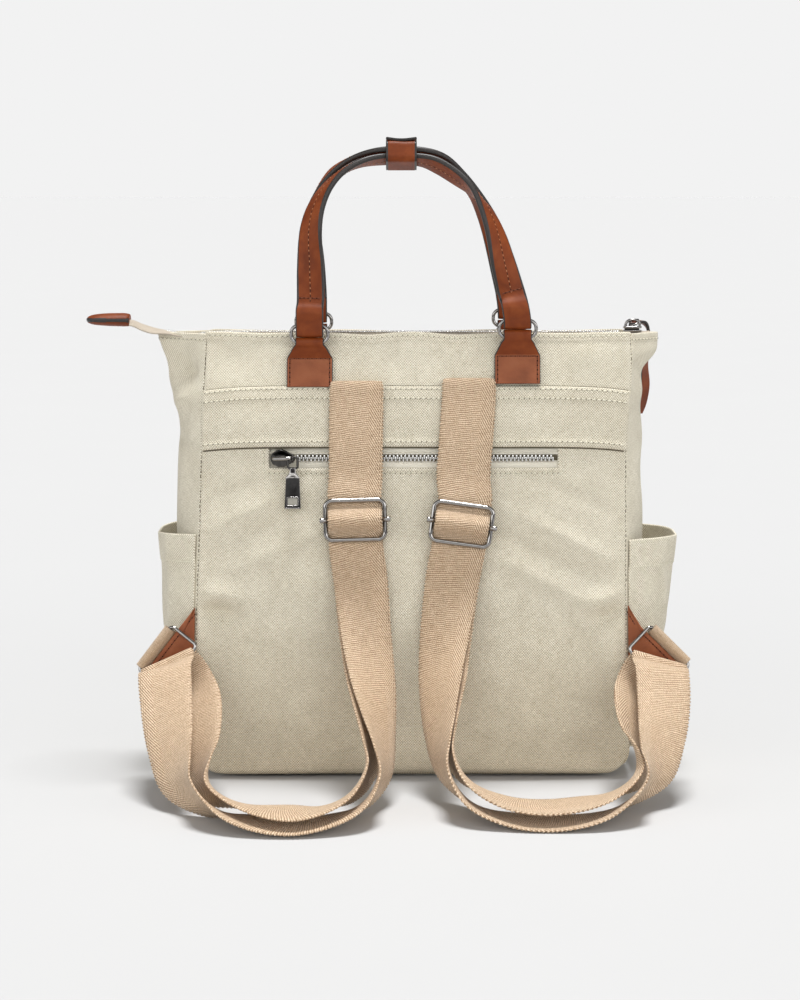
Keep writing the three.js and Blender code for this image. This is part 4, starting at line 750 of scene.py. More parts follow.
# a lighter orange tone for the side edges of the anchor patches
ORANGE_M = leather_material("leather_edge_light_orange", (0.22, 0.060, 0.018), (0.33, 0.105, 0.036), (0.42, 0.15, 0.06))
EDGE_M = simple_material("leather_edge_paint", (0.012, 0.010, 0.009), (0.030, 0.024, 0.021), 0.8, 0.42, bump=0.2)
METAL_M = simple_material("nickel_polished", (0.28, 0.268, 0.257), (0.37, 0.357, 0.345), 0.25, 0.07, metal=1.0, bump=0.04, rough_span=0.08)
GUN_M = simple_material("gunmetal", (0.05, 0.047, 0.045), (0.09, 0.085, 0.08), 0.4, 0.09, metal=1.0, bump=0.04, rough_span=0.08)
BLACK_M = simple_material("black_enamel", (0.010, 0.009, 0.009), (0.022, 0.020, 0.019), 0.5, 0.22, bump=0.05, spec=0.2, rough_span=0.06)
TEETH_M = simple_material("zip_teeth_silver", (0.60, 0.59, 0.57), (0.78, 0.77, 0.75), 0.6, 0.26, metal=1.0, bump=0.08)
# painted reflection: the pull's window is a matte grey-beige, not metal, standing in for a brushed metal face that
# mirrors the canvas
WINDOW_REFLECTION_M = simple_material("pull_window_painted_reflection", (0.30, 0.285, 0.245), (0.38, 0.36, 0.31), 1.2, 0.45, bump=0.3, spec=0.3)
TAPE_M = tape_material("zip_tape_weave", (0.62, 0.575, 0.465), (0.80, 0.755, 0.64), (0.93, 0.90, 0.81))
# painted shade: the top zip's tape is a darker copy of the tape weave, standing in for the shade between the two top
# hems
TOP_TAPE_SHADED_M = tape_material("top_zip_tape_weave_painted_shade", (0.32, 0.275, 0.215), (0.47, 0.405, 0.325), (0.60, 0.53, 0.44))
THREAD_M = simple_material("canvas_thread", (0.60, 0.56, 0.44), (0.78, 0.75, 0.63), 1.6, 0.8, bump=0.3, dist=0.0002, spec=0.25)
# painted shade: near-black brown for the needle holes, the dark lines in the side seams and along the yoke's edges, and
# the gaps behind the rear zip's teeth
PAINTED_SHADE_M = simple_material("needle_hole", (0.085, 0.072, 0.047), (0.15, 0.13, 0.09), 0.9, 0.9, bump=0.1, spec=0.1)
RED_THREAD_M = simple_material("leather_thread", (0.115, 0.026, 0.010), (0.20, 0.055, 0.022), 1.2, 0.6, bump=0.3, dist=0.0002, spec=0.3)
TAN_THREAD_M = simple_material("handle_thread", (0.34, 0.14, 0.06), (0.52, 0.27, 0.14), 1.2, 0.6, bump=0.3, dist=0.0002, spec=0.3)
# painted shade: near-black for the needle holes in the leather
LEATHER_HOLE_M = simple_material("leather_needle_hole", (0.035, 0.012, 0.006), (0.07, 0.024, 0.012), 0.9, 0.8, bump=0.1, spec=0.2)


def cut_size(P):
    """Flat width and length of a grid of cloth, in metres."""
    a, b = P[1:, :-1] - P[:-1, :-1], P[:-1, 1:] - P[:-1, :-1]
    area = np.linalg.norm(np.cross(a, b), axis=2).sum()
    length = np.linalg.norm(np.diff(P, axis=1), axis=2).sum(1).mean()
    return round(float(area / length * MM), 4), round(float(length * MM), 4)


# the canvas thread heap also carries the dark marks of painted shade: needle holes, seam lines and lines along the
# yoke's edges
sew = Heap()          # same-colour thread and needle holes on the canvas


def across(z, n, inset=0.0):
    """x at n + 1 even places between the two seams at height z."""
    a, b = seam(-1, z) + inset, seam(1, z) - inset
    return a + (b - a) * np.linspace(0, 1, n + 1)


def roll(d, r):
    """How far a cloth edge turns in at a distance d from its seam."""
    d = np.clip(d, 0, r)
    return r - np.sqrt(np.maximum(0, r * r - (r - d) ** 2))


def yoke_shift(s):
    """The yoke's two edges dip towards the side seams."""
    return -3.9 * np.abs(s) ** 7


def hem_top(x):
    """Height of the soft top hem of the back."""
    return TOP_Z + 0.4 - 1.7 * hill(x, 0, -30, 0, 17, 1) - 1.6 * hill(x, 0, 31, 0, 18, 1) - 1.0 * hill(x, 0, 118, 0, 24, 1) - 0.9 * hill(x, 0, -112, 0, 18, 1) + 0.5 * np.cos(x / 21)


def pucker(x, z, rows, deep=0.22, reach=1.7):
    """Cloth drawn in along stitch rows, a little more at each stitch. rows: heights (arrays like x)."""
    w = 0
    for zr in rows:
        w = w - deep * np.exp(-((z - zr) / reach) ** 2) * (0.75 + 0.25 * np.cos(2 * math.pi * x / 3.8))
    return w


def panel_grid(face, zs_of, n, inset=0.0, off=0.0, edge_r=3.2, extra=None, xs=None):
    """Grid of points on the back or front: zs_of gives heights for each place across."""
    u = np.linspace(0, 1, n + 1) if xs is None else xs
    base = zs_of(u)                                    # (n + 1, m)
    a, b = seam(-1, base) + inset, seam(1, base) - inset
    x = a + (b - a) * u[:, None]
    z = base
    P, N = skin_point(face, x, z)
    lift = np.full_like(x, off) - roll(np.minimum(x - a, b - x), edge_r)
    if extra is not None:
        lift = lift + extra(x, z)
    P = P + N * lift[..., None]
    return P, np.stack([x, z], -1), x, z


# lower back panel with the mouth of the zip pocket; grid lines follow the mouth's edges
FOOT, FOOT_R = 2.0, 9.0
zl = np.unique(np.concatenate([
    [FOOT, FOOT + 0.2, FOOT + 0.7, FOOT + 1.5, FOOT + 2.6, FOOT + 4.1, FOOT + 6, FOOT + 9, 16, 19, CORNER_R],
    np.linspace(CORNER_R, SLOT_Z0 - 4, 112), np.linspace(SLOT_Z0 - 4, SLOT_Z0, 5), np.linspace(SLOT_Z0, SLOT_Z1, 10), np.linspace(SLOT_Z1, PANEL_SPLIT, 10)]))
NX = 196


def lower_panel():
    u = np.linspace(0, 1, NX + 1)
    z = np.broadcast_to(zl, (NX + 1, len(zl))).copy()
    a, b = seam(-1, z), seam(1, z)
    x = a + (b - a) * u[:, None]
    # near the mouth the upright grid lines stand exactly on its two ends
    i0, i1 = np.argmin(np.abs(x[:, -8] - SLOT_X0)), np.argmin(np.abs(x[:, -8] - SLOT_X1))
    near = smooth(150, 205, zl)[None, :]
    nodes_from = np.stack([x[0], x[i0], x[i1], x[-1]])
    nodes_to = np.stack([x[0], x[i0] + (SLOT_X0 - x[i0]) * near[0], x[i1] + (SLOT_X1 - x[i1]) * near[0], x[-1]])
    for j in range(x.shape[1]):
        x[:, j] = np.interp(x[:, j], nodes_from[:, j], nodes_to[:, j])
    P, N = skin_point(-1, x, z)
    inside = lambda q, lo, hi, r: smooth(lo - r, lo, q) * smooth(hi + r, hi, q)
    # folded lips of the mouth, drawn in at their stitching
    d_low, d_side = SLOT_Z0 - z, np.maximum(SLOT_X0 - x, x - SLOT_X1)
    span_x = inside(x, SLOT_X0, SLOT_X1, 4)
    lip = 1.1 * np.exp(-((d_low - 1.2) / 1.3) ** 2) * span_x - 0.5 * np.exp(-((d_low - 3.3) / 1.1) ** 2) * span_x
    lip = lip + (0.6 * np.exp(-((d_side - 1.3) / 1.3) ** 2) - 0.3 * np.exp(-((d_side - 3.6) / 1.1) ** 2)) * inside(z, SLOT_Z0, SLOT_Z1, 3)
    lift = lip - roll(np.minimum(x - a, b - x), 3.2) - roll(z - FOOT, FOOT_R)
    # little gathers along the side seams
    edge = np.minimum(x - a, b - x)
    lift = lift + 0.16 * np.exp(-((edge - 4.5) / 3.2) ** 2) * np.cos(2 * math.pi * z / 8.7 + 0.6 * np.sin(z / 17))
    P = P + N * lift[..., None]
    xc, zc = (x[:-1, :-1] + x[1:, 1:]) / 2, (z[:-1, :-1] + z[1:, 1:]) / 2
    keep = ~((xc > SLOT_X0) & (xc < SLOT_X1) & (zc > SLOT_Z0) & (zc < SLOT_Z1))
    return shell("lower_back_panel_cloth", P, np.stack([x, z], -1), CANVAS_M, keep=keep, slot="canvas", replaces=("lower_back_panel",))


lower_ob = lower_panel()

# upper back panel, from behind the yoke to the soft top hem
def upper_z(u):
    zt = hem_top(-151.5 + 312 * u)[:, None]
    v = np.concatenate([np.linspace(0, 0.86, 30), np.linspace(0.875, 1, 12)])
    return PANEL_SPLIT + GAP + (zt - PANEL_SPLIT - GAP) * v


HEM_ROW = 2.6
upper_P, upper_uv, ux, uz = panel_grid(-1, upper_z, 196, extra=lambda x, z: 0.5 * smooth(hem_top(x) - 6.6, hem_top(x) - 5.4, z)
                                       + pucker(x, z, [hem_top(x) - HEM_ROW], 0.3, 1.1) - 0.5 * roll(hem_top(x) - z, 1.6))
upper_ob = shell("upper_back_panel_cloth", upper_P, upper_uv, CANVAS_M, thick=1.7, slot="canvas", replaces=("upper_back_panel",))

# yoke band over both, with turned edges
YOKE_OFF = CANVAS + GAP


def yoke_z(u):
    s = 2 * u - 1
    top = YOKE_TOP + 0.5 + yoke_shift(s)
    low = YOKE_BOTTOM + 0.2 + 0.85 * yoke_shift(s)
    v = np.concatenate([np.linspace(0, 0.1, 7), np.linspace(0.125, 0.7, 20), np.linspace(0.72, 1, 16)])
    return low[:, None] + (top - low)[:, None] * v


def yoke_extra(x, z):
    s = 2 * (x - seam(-1, z)) / (seam(1, z) - seam(-1, z)) - 1
    top = YOKE_TOP + 0.5 + yoke_shift(s)
    low = YOKE_BOTTOM + 0.2 + 0.85 * yoke_shift(s)
    fold = 0.6 * smooth(top - 10.5, top - 8.8, z) + 0.9 * smooth(low + 6.2, low + 3.4, z)
    edge = -0.6 * roll(top - z, 1.2) - 0.6 * roll(z - low, 1.2)
    belly = 0.9 * np.sin(math.pi * np.clip((z - low) / (top - low), 0, 1)) * (1 + 0.5 * np.sin(x / 23))
    return fold + edge + belly + pucker(x, z, [top - 1.9, top - 8.6, low + 3.4], 0.34, 1.0)


yoke_P, yoke_uv, yx, yz = panel_grid(-1, yoke_z, 200, inset=0.6, off=YOKE_OFF, edge_r=1.6, extra=yoke_extra)
# the yoke uses the darker copy of the canvas: painted shade
yoke_ob = shell("back_yoke_cloth", yoke_P, yoke_uv + [3.3, 1.7], CANVAS_YOKE_SHADED_M, thick=1.7, slot="canvas", replaces=("back_yoke",))


def sew_on_skin(x, z, off, **kw):
    P, N = skin_point(-1, x, z)
    P = P + N * np.reshape(off, (-1, 1))
    stitch_run(sew, P, N, 3.8, 3.0, 0.62, lift=0.3, hole=0.5, skew=0.14, **kw)


ss = np.linspace(-0.985, 0.985, 240)
ysx = lambda z: seam(-1, z) + (seam(1, z) - seam(-1, z)) * (ss + 1) / 2
for row_z, off in ((YOKE_TOP + 0.5 + yoke_shift(ss) - 1.9, YOKE_OFF + 0.38), (YOKE_TOP + 0.5 + yoke_shift(ss) - 8.6, YOKE_OFF + 0.55),
                   (YOKE_BOTTOM + 0.2 + 0.85 * yoke_shift(ss) + 3.4, YOKE_OFF + 0.45)):
    sew_on_skin(ysx(row_z), row_z, YOKE_OFF + yoke_extra(ysx(row_z), row_z) + 0.12)
# painted shade: thin dark cords just under the yoke's lower edge and over its top edge stand in for the shadow lines
# along its folds
for row_z, deep, r_ in ((YOKE_BOTTOM - 0.5 + 0.85 * yoke_shift(ss), 0.75, 0.5), (YOKE_TOP + 1.0 + yoke_shift(ss), 0.5, 0.34)):
    P, N = skin_point(-1, ysx(row_z), row_z, deep)
    v, f, uv = wire_loop(P, r_, V(0, 0, 1), 8, False)
    sew.add(v, f, uv, mat=1)
xx = np.linspace(-148, 157.5, 220)
sew_on_skin(xx, hem_top(xx) - HEM_ROW, 0.28)
# box of stitches round the zip mouth
zx = np.linspace(SLOT_X0 - 3.4, SLOT_X1 + 3.4, 160)
sew_on_skin(zx, np.full_like(zx, SLOT_Z0 - 3.3), -0.32)
for xe in (SLOT_X0 - 3.6, SLOT_X1 + 3.6):
    zz = np.linspace(SLOT_Z0 - 3.3, YOKE_BOTTOM, 20)
    sew_on_skin(np.full_like(zz, xe), zz, -0.25)

# front panel, its top hem a little lower than the back's
FRONT_TOP = TOP_Z - 1.0


def front_z(u):
    zt = (FRONT_TOP + 0.5 * np.cos(u * 19) - 1.0 * np.exp(-((u - 0.5) / 0.2) ** 2))[:, None]
    z0 = np.concatenate([[FOOT, FOOT + 0.2, FOOT + 0.7, FOOT + 1.5, FOOT + 2.6, FOOT + 4.1, FOOT + 6, FOOT + 9, 16, 19], np.linspace(CORNER_R, 300, 96)])
    v = np.concatenate([(z0 - FOOT) / (FRONT_TOP - FOOT), 1 - np.array([20, 16, 12, 9, 7.5, 6.5, 5.5, 4.5, 3.5, 2.5, 1.6, 0.8, 0]) / (FRONT_TOP - FOOT)])
    return FOOT + (zt - FOOT) * v


front_P, front_uv, fx, fz = panel_grid(1, front_z, 104, extra=lambda x, z: 0.5 * smooth(FRONT_TOP - 6.6, FRONT_TOP - 5.4, z)
                                       + pucker(x, z, [FRONT_TOP - HEM_ROW], 0.3, 1.1) - roll(z - FOOT, FOOT_R))
front_ob = shell("front_panel_cloth", front_P, front_uv, CANVAS_M, flip=True, slot="canvas", replaces=("front_panel",))
P, N = skin_point(1, np.linspace(-148, 157, 200), np.full(200, FRONT_TOP - HEM_ROW), 0.28)
stitch_run(sew, P, N, 3.8, 3.1, 0.5, lift=0.2, hole=0.42, skew=0.12)


# side gussets
def gusset(side, name):
    z1 = TOP_Z - 1.2
    zs = np.concatenate([np.linspace(CORNER_R + GAP, 240, 90), np.linspace(242, z1 - 8, 56), np.linspace(z1 - 7.4, z1, 14)])
    t = 0.5 - 0.5 * np.cos(np.linspace(0, math.pi, 57))
    t = 0.35 * t + 0.65 * np.linspace(0, 1, 57)
    T, Z = np.meshgrid(t, zs, indexing="ij")
    X, Y = gusset_x(side, T, Z), gusset_y(T, Z)
    s = np.abs(2 * T - 1)
    free = (1 - s ** 6)
    soft = 0.7 * np.sin(Z / 21 + 3 * T) * np.sin(T * 7 + Z / 60) * free
    if side < 0:
        soft = soft - 6.5 * hill(T * 60, Z, 15, 295, 9, 8.5, -10) + 4.0 * hill(T * 60, Z, 15, 276, 13, 6.5, -16) - 1.6 * hill(T * 60, Z, 14, 244, 14, 5, 24) - 1.3 * hill(T * 60, Z, 20, 262, 10, 14, 10) - 1.0 * hill(T * 60, Z, 8, 228, 9, 16)
    else:
        soft = soft + 3.4 * hill(T * 60, Z, 28, 311, 15, 9) + 6.5 * hill(T * 60, Z, 17, 288, 11, 13) - 1.6 * hill(T * 60, Z, 10, 301, 7, 5, 25) + 1.0 * hill(T * 60, Z, 18, 311, 10, 5, 15) - 1.0 * hill(T * 60, Z, 8, 240, 9, 18)
    hem = 0.45 * smooth(z1 - 6.4, z1 - 5.2, Z) - 0.3 * np.exp(-((Z - z1 + 4.0) / 1.1) ** 2)
    seam_roll = roll(np.minimum(T, 1 - T) * 100, 3.0) * 0.0
    X = X + side * (soft * free + hem - seam_roll)
    P = np.stack([X, Y, Z], -1)
    arc = np.concatenate([[np.zeros(P.shape[1])], np.cumsum(np.linalg.norm(np.diff(P, axis=0), axis=2), axis=0)])
    ob = shell(name + "_cloth", P, np.stack([arc + side * 500, Z], -1), CANVAS_SIDE_M, flip=side < 0, slot="canvas", replaces=(name,))
    cut_size(P)
    row = np.argmin(np.abs(zs - (z1 - 4.0)))
    N = grid_normals(P)
    N = N * np.where(N[..., :1] * side < 0, -1.0, 1.0)
    stitch_run(sew, P[1:-1, row] + N[1:-1, row] * 0.2, N[1:-1, row], 3.8, 3.1, 0.5, lift=0.2, hole=0.62, skew=0.12)
    return ob


# painted shade: a dashed dark line down each side seam stands in for the shade in the seam's groove
for side in (-1, 1):
    sz = np.linspace(26, TOP_Z - 3, 260)
    sx = seam(side, sz) - side * (0.75 + 0.22 * np.sin(sz / 4.1) + 0.15 * np.sin(sz / 1.7))
    line = np.stack([sx, -(at(SECTION, S_D, sz) - 1.9), sz], -1)
    stitch_run(sew, line, np.tile(V(-0.3 * side, -1, 0), (260, 1)), 3.6, 3.3, 0.42, lift=0.1, thread_mat=1)

gusset_l, gusset_r = gusset(-1, "gusset_left"), gusset(1, "gusset_right")


# base with ends that turn up into the gussets
def base():
    half = at(SECTION, S_D, 0) - CANVAS - GAP
    xl, xr = at(SECTION, S_XL, CORNER_R) + CORNER_R, at(SECTION, S_XR, CORNER_R) - CORNER_R
    prof = [(xl, rad(q)) for q in np.linspace(180, 270, 19)]
    x, z = [c + CORNER_R * math.cos(q) for c, q in prof], [CORNER_R + CORNER_R * math.sin(q) for c, q in prof]
    mid = np.linspace(xl, xr, 90)[1:-1]
    x += list(mid); z += [0.0] * len(mid)
    prof = [(xr, rad(q)) for q in np.linspace(270, 360, 19)]
    x += [c + CORNER_R * math.cos(q) for c, q in prof]; z += [CORNER_R + CORNER_R * math.sin(q) for c, q in prof]
    x, z = np.array(x), np.array(z)
    y = np.array([0, 6, 12, 17, 21, 24, 26.5, 28.5, 30, 31.5, 33, 34.5, 36, 38, 41, 45, 49, 53, 56, half])
    y = np.concatenate([-y[:0:-1], y])
    X, Y = np.meshgrid(x, y, indexing="ij")
    Zg = np.broadcast_to(z[:, None], X.shape).copy()
    flat = smooth(xl - 2, xl + 25, X) * smooth(xr + 2, xr - 25, X)
    Zg = Zg + flat * (0.5 + 0.5 * np.sin(X / 31 + 1) * np.cos(Y / 17)) * smooth(half, half - 25, np.abs(Y))
    low = 1 - smooth(3, 14, Zg)
    # the bag stands on the middle of its base, the sewn edges are drawn up
    Zg = Zg + low * 1.8 * smooth(28, 36, np.abs(Y))
    Y = Y * (1 - low * 6.2 / half)
    P = np.stack([X, Y, Zg], -1)
    arc = np.concatenate([[0], np.cumsum(np.hypot(np.diff(x), np.diff(z)))])
    ob = shell("base_panel_cloth", P, np.stack([np.broadcast_to(arc[:, None], X.shape), Y], -1), CANVAS_M, flip=True, slot="canvas", replaces=("base_panel",))
    cut_size(P)
    return ob


base_ob = base()


# side pockets with a deep turned hem
def pocket(side, name):
    col = 1 if side < 0 else 2
    corner_top, seam_top = POCKET_TOP[side]
    v = np.concatenate([np.linspace(0, 0.82, 56), np.linspace(0.83, 0.94, 14), np.linspace(0.95, 1, 10)])
    t = np.linspace(0, 1, 81)
    T, VV = np.meshgrid(t, v, indexing="ij")
    s = np.abs(2 * T - 1)
    top = corner_top + (seam_top - corner_top) * s ** 3 - 1.6 * np.exp(-((T - 0.52) / 0.2) ** 2)
    Z = 24 + (top - 24) * VV
    foot = GAP + CANVAS + 0.3
    stand = at(POCKET, col, Z) - foot
    seam_x = at(SECTION, S_XL if side < 0 else S_XR, Z)
    reach = np.maximum(foot + stand * (1 - s ** 3.2), side * (gusset_x(side, T, Z) - seam_x) + foot + 0.2)
    free = (1 - s ** 4)
    hem = 0.7 * smooth(top - 21.2, top - 19.6, Z) - 0.35 * np.exp(-((Z - top + 19.2) / 1.2) ** 2)
    if side < 0:
        fold = 1.4 * hill(T * 60, Z, 9, 150, 4, 40) - 1.5 * hill(T * 60, Z, 16, 140, 4.5, 42) + 0.9 * hill(T * 60, Z, 24, 120, 7, 40)
    else:
        fold = 1.5 * hill(T * 60, Z, 9, 150, 4, 34, 10) - 1.6 * hill(T * 60, Z, 15, 146, 4, 38, 14) + 1.0 * hill(T * 60, Z, 24, 128, 7, 36, 8)
    fold = fold + 0.6 * np.sin(Z / 17 + T * 5)
    reach = reach + (fold * free + hem) * smooth(24, 60, Z)
    P = np.stack([seam_x + side * reach, gusset_y(T, Z) * 0.985, Z], -1)
    arc = np.concatenate([[np.zeros(P.shape[1])], np.cumsum(np.linalg.norm(np.diff(P, axis=0), axis=2), axis=0)])
    ob = shell(name + "_cloth", P, np.stack([arc + side * 300 + 7, Z + 0.6], -1), CANVAS_SIDE_M, flip=side < 0, slot="canvas", replaces=(name,))
    cut_size(P)
    N = grid_normals(P)
    N = N * np.where(N[..., :1] * side < 0, -1.0, 1.0)
    want = (top - 19.4 - 24) / (top - 24)
    line, nl = [], []
    for i in range(1, len(t) - 1):
        w = np.interp(want[i, 0], v, np.arange(len(v)))
        j = int(w); fr = w - j
        line.append(P[i, j] * (1 - fr) + P[i, j + 1] * fr); nl.append(N[i, j])
    stitch_run(sew, np.array(line) + np.array(nl) * 0.1, nl, 3.8, 3.2, 0.42, lift=0.12, skew=0.12)
    return ob


pocket_l, pocket_r = pocket(-1, "side_pocket_left"), pocket(1, "side_pocket_right")

# ----------------------------------------------------------------------------
# Zips
# ----------------------------------------------------------------------------
def tooth_shape():
    """One zip tooth: a rounded peg with a narrower head, 1 unit = 1 mm; x along the zip, y across towards the middle, z up."""
    sec = []
    for y, w, h in ((-2.3, 0.62, 0.62), (-2.1, 0.78, 0.86), (-0.6, 0.80, 0.92), (0.3, 0.62, 0.86), (0.9, 0.70, 0.82), (1.25, 0.5, 0.55)):
        q = np.linspace(0, 2 * math.pi, 10, endpoint=False)
        c, s = np.cos(q), np.sin(q)
        sec.append(np.stack([w * np.sign(c) * np.abs(c) ** 0.6, np.full(10, y), h * np.sign(s) * np.abs(s) ** 0.6], -1))
    v, f, uv = tube(np.array(sec))
    return v, outward(v, f)


TOOTH = tooth_shape()


def teeth(heap, centre, along, across_, up, pitch, half):
    """Two interlocking rows of teeth along a line of points."""
    centre = np.asarray(centre, float)
    s = np.concatenate([[0], np.cumsum(np.linalg.norm(np.diff(centre, axis=0), axis=1))])
    n = int(s[-1] / pitch)
    v0, f0 = TOOTH
    for k in range(n):
        for side, shift in ((1, 0.0), (-1, 0.5)):
            q = (k + 0.25 + shift) * pitch
            if q > s[-1]:
                continue
            c = np.array([np.interp(q, s, centre[:, j]) for j in range(3)])
            v = c + v0[:, :1] * along * 0.92 + (v0[:, 1:2] - 0.35) * across_ * side * -1 * half / 2.6 + v0[:, 2:3] * up
            heap.add(v, f0 if side > 0 else [g[:, ::-1] for g in f0])


# zip pocket: tape, chain
txs, tzs = np.linspace(-112, 114.5, 120), np.linspace(222, 250, 24)
TX, TZ = np.meshgrid(txs, tzs, indexing="ij")
TP, TN = skin_point(-1, TX, TZ)
TP = np.stack([TX, face_y(-1, TX, TZ) + YOKE_OFF, TZ], -1)
TP[..., 1] += -0.25 * np.exp(-((TZ - CHAIN_Z) / 4.6) ** 2)
tape_ob = shell("rear_zip_tape_cloth", TP, np.stack([TX, TZ - CHAIN_Z], -1), TAPE_M, thick=1.0, slot="zip_tape", replaces=("rear_zip_tape",))
cut_size(TP)
h = Heap()
cx = np.linspace(-84, SLOT_X1 - 0.8, 100)
teeth(h, np.stack([cx, face_y(-1, cx, CHAIN_Z) + CANVAS - 1.55, np.full_like(cx, CHAIN_Z)], -1), V(1, 0, 0), V(0, 0, 1), V(0, -1, 0), 2.8, 2.55)
h.make("rear_zip_teeth", [TEETH_M], slot="zip_chain", replaces=("rear_zip_chain",))
# corded edges of the tape along the teeth, and three dark cords behind the teeth: painted shade in the gaps between
# them
h = Heap()
for dz in (-3.3, 3.3):
    px = np.linspace(-104, SLOT_X1 + 2, 130)
    v, f, uv = wire_loop(np.stack([px, face_y(-1, px, CHAIN_Z) + CANVAS - 0.15 + 0 * px, np.full_like(px, CHAIN_Z + dz)], -1), 0.75, V(0, 0, 1), 8, False)
    h.add(v, f, uv)
for dz in (-1.3, 0.0, 1.3):
    px = np.linspace(-84, SLOT_X1 - 0.8, 100)
    v, f, uv = wire_loop(np.stack([px, face_y(-1, px, CHAIN_Z) + CANVAS + 0.25 + 0 * px, np.full_like(px, CHAIN_Z + dz)], -1), 0.9, V(0, 0, 1), 8, False)
    h.add(v, f, uv, mat=1)
h.make("rear_zip_cords_and_painted_shade", [TAPE_M, PAINTED_SHADE_M], slot="zip_tape")

# slider body with its flanges, crown and bail
def plate_solid(outline, y0, depth, bevel=0.5, steps=3, ex=V(1, 0, 0), ey=V(0, 0, 1), ez=V(0, -1, 0), o=V(0, 0, 0)):
    """Plate with softened edges from an outline (a, b), depth thick, its back at o; y0 is not used."""
    A = np.asarray(outline, float)
    area = np.sum(A[:, 0] * np.roll(A[:, 1], -1) - np.roll(A[:, 0], -1) * A[:, 1])
    if area < 0:
        A = A[::-1]
    # round each corner by sampling the outline finely and smoothing it
    seg = np.roll(A, -1, 0) - A
    pts = np.concatenate([A[i] + seg[i] * np.linspace(0, 1, max(3, int(np.linalg.norm(seg[i]) / 0.35)), endpoint=False)[:, None] for i in range(len(A))])
    for _ in range(3):
        pts = (np.roll(pts, 1, 0) + 2 * pts + np.roll(pts, -1, 0)) / 4
    tan = np.roll(pts, -1, 0) - np.roll(pts, 1, 0)
    nrm = unit(np.stack([tan[:, 1], -tan[:, 0]], -1))
    levels = []
    for k in range(steps + 1):
        q = math.pi / 2 * k / steps
        levels.append((bevel * (1 - math.sin(q)), bevel * (1 - math.cos(q))))
    sec = [(ins, dep) for ins, dep in levels] + [(ins, depth - dep) for ins, dep in reversed(levels)]
    S = []
    for ins, dep in sec:
        p2 = pts - nrm * ins
        S.append(o + p2[:, :1] * ex + p2[:, 1:] * ey + (dep - y0 * 0) * ez)
    v, f, uv = tube(np.array(S))
    return v, outward(v, f)


y0 = float(face_y(-1, -92.0, CHAIN_Z)) + CANVAS - 1.4
slider = Heap()
O = V(0, y0, 0)
body_low = [(-102.8, 233.8), (-101.4, 231.2), (-97.5, 229.5), (-92.5, 229.9), (-88.2, 231.9), (-85.2, 234.0), (-85.0, 235.7), (-85.3, 237.4), (-88.2, 239.0), (-92.5, 241.4), (-95.2, 242.2), (-98.6, 241.4), (-101.8, 239.2), (-103, 236.4)]
for back, dep in ((0.0, 1.5), (2.9, 1.7)):
    v, f = plate_solid(body_low, 0, dep, 0.55, o=O + V(0, -back, 0))
    slider.add(v, f)
core = [(-101.5, 233.6), (-92, 233.0), (-86.5, 234.2), (-86.5, 237.0), (-92, 238.2), (-101.5, 237.6)]
v, f = plate_solid(core, 0, 2.6, 0.3, o=O + V(0, -0.8, 0))
slider.add(v, f)
# the bridge on top of the slider that holds the pull
frontY = y0 - 4.6
arch = np.array([(-101.0, 0.6, 235.6), (-100.2, -1.6, 235.6), (-98.0, -2.7, 235.7), (-94, -3.2, 235.9), (-90.5, -3.4, 236.1), (-88.4, -3.0, 236.2), (-86.9, -1.8, 236.3), (-86.3, 0.6, 236.3)])
arch = catmull(arch * [1, 1, 1] + [0, frontY, 0], [6] * 7)
v, f, uv = wire_loop(arch, 1.35, V(0, 0, 1), 12, False)
slider.add(v, f, mat=1)
ring = catmull(np.array([(-86.6, frontY + a, b) for a, b in [(0.9, 238.3), (-2.2, 238.7), (-4.2, 238.3), (-5, 236.5), (-4.4, 234.4), (-2.8, 233.5), (0.9, 233.8)]]), [6] * 6)
v, f, uv = wire_loop(ring, 0.8, V(1, 0, 0), 12, False)
slider.add(v, f)
slider.make("rear_zip_slider_body", [GUN_M, METAL_M], slot="metal", replaces=("rear_zip_slider",))

# pull that swings on the bail
PULL_X, PULL_Y, PULL_Z, PULL_LEAN = -86.6, frontY - 2.3, 236.4, 8.5
q = rad(PULL_LEAN)
p_up, p_out = V(0, math.sin(q), math.cos(q)), V(0, -math.cos(q), math.sin(q))
PO = V(PULL_X, PULL_Y, PULL_Z)
pull = Heap()


def pull_pt(x, upw, o):
    return PO + V(x, 0, 0) + p_up * upw + p_out * o


# eye of the pull as a flat loop
eye = rounded_loop(pull_pt(0, -3.7, 0), V(1, 0, 0), p_up, 7.0, 7.9, 1.6, 6, 4)
v, f, uv = wire_loop(eye, 0.9, p_out, 12, True)
pull.add(v, f, mat=0)
blade = [(-2.1, -7.4), (2.1, -7.4), (2.3, -10.4), (2.6, -11.4), (5.0, -14.0), (5.5, -25), (6.0, -37.0), (-6.0, -37.0), (-5.5, -25), (-5.0, -14.0), (-2.6, -11.4), (-2.3, -10.4)]
v, f = plate_solid(blade, 0, 2.0, 0.45, o=PO + p_out * -1.0, ex=V(1, 0, 0), ey=p_up, ez=p_out)
pull.add(v, f, mat=1)
inlay = [(-4.75, -14.6), (4.75, -14.6), (5.2, -25), (5.7, -36.2), (-5.7, -36.2), (-5.2, -25)]
v, f = plate_solid(inlay, 0, 0.35, 0.12, 2, o=PO + p_out * 0.75, ex=V(1, 0, 0), ey=p_up, ez=p_out)
pull.add(v, f, mat=2)
neck = [(-1.6, -7.8), (1.6, -7.8), (1.7, -11.0), (-1.7, -11.0)]
v, f = plate_solid(neck, 0, 0.35, 0.12, 2, o=PO + p_out * 0.75, ex=V(1, 0, 0), ey=p_up, ez=p_out)
pull.add(v, f, mat=2)
# raised rim round a plain recessed window
win = rounded_loop(pull_pt(0, -31.6, 1.2), V(1, 0, 0), p_up, 8.0, 6.2, 0.7, 5, 4)
v, f, uv = wire_loop(win, 0.32, p_out, 8, True)
pull.add(v, f, mat=1)
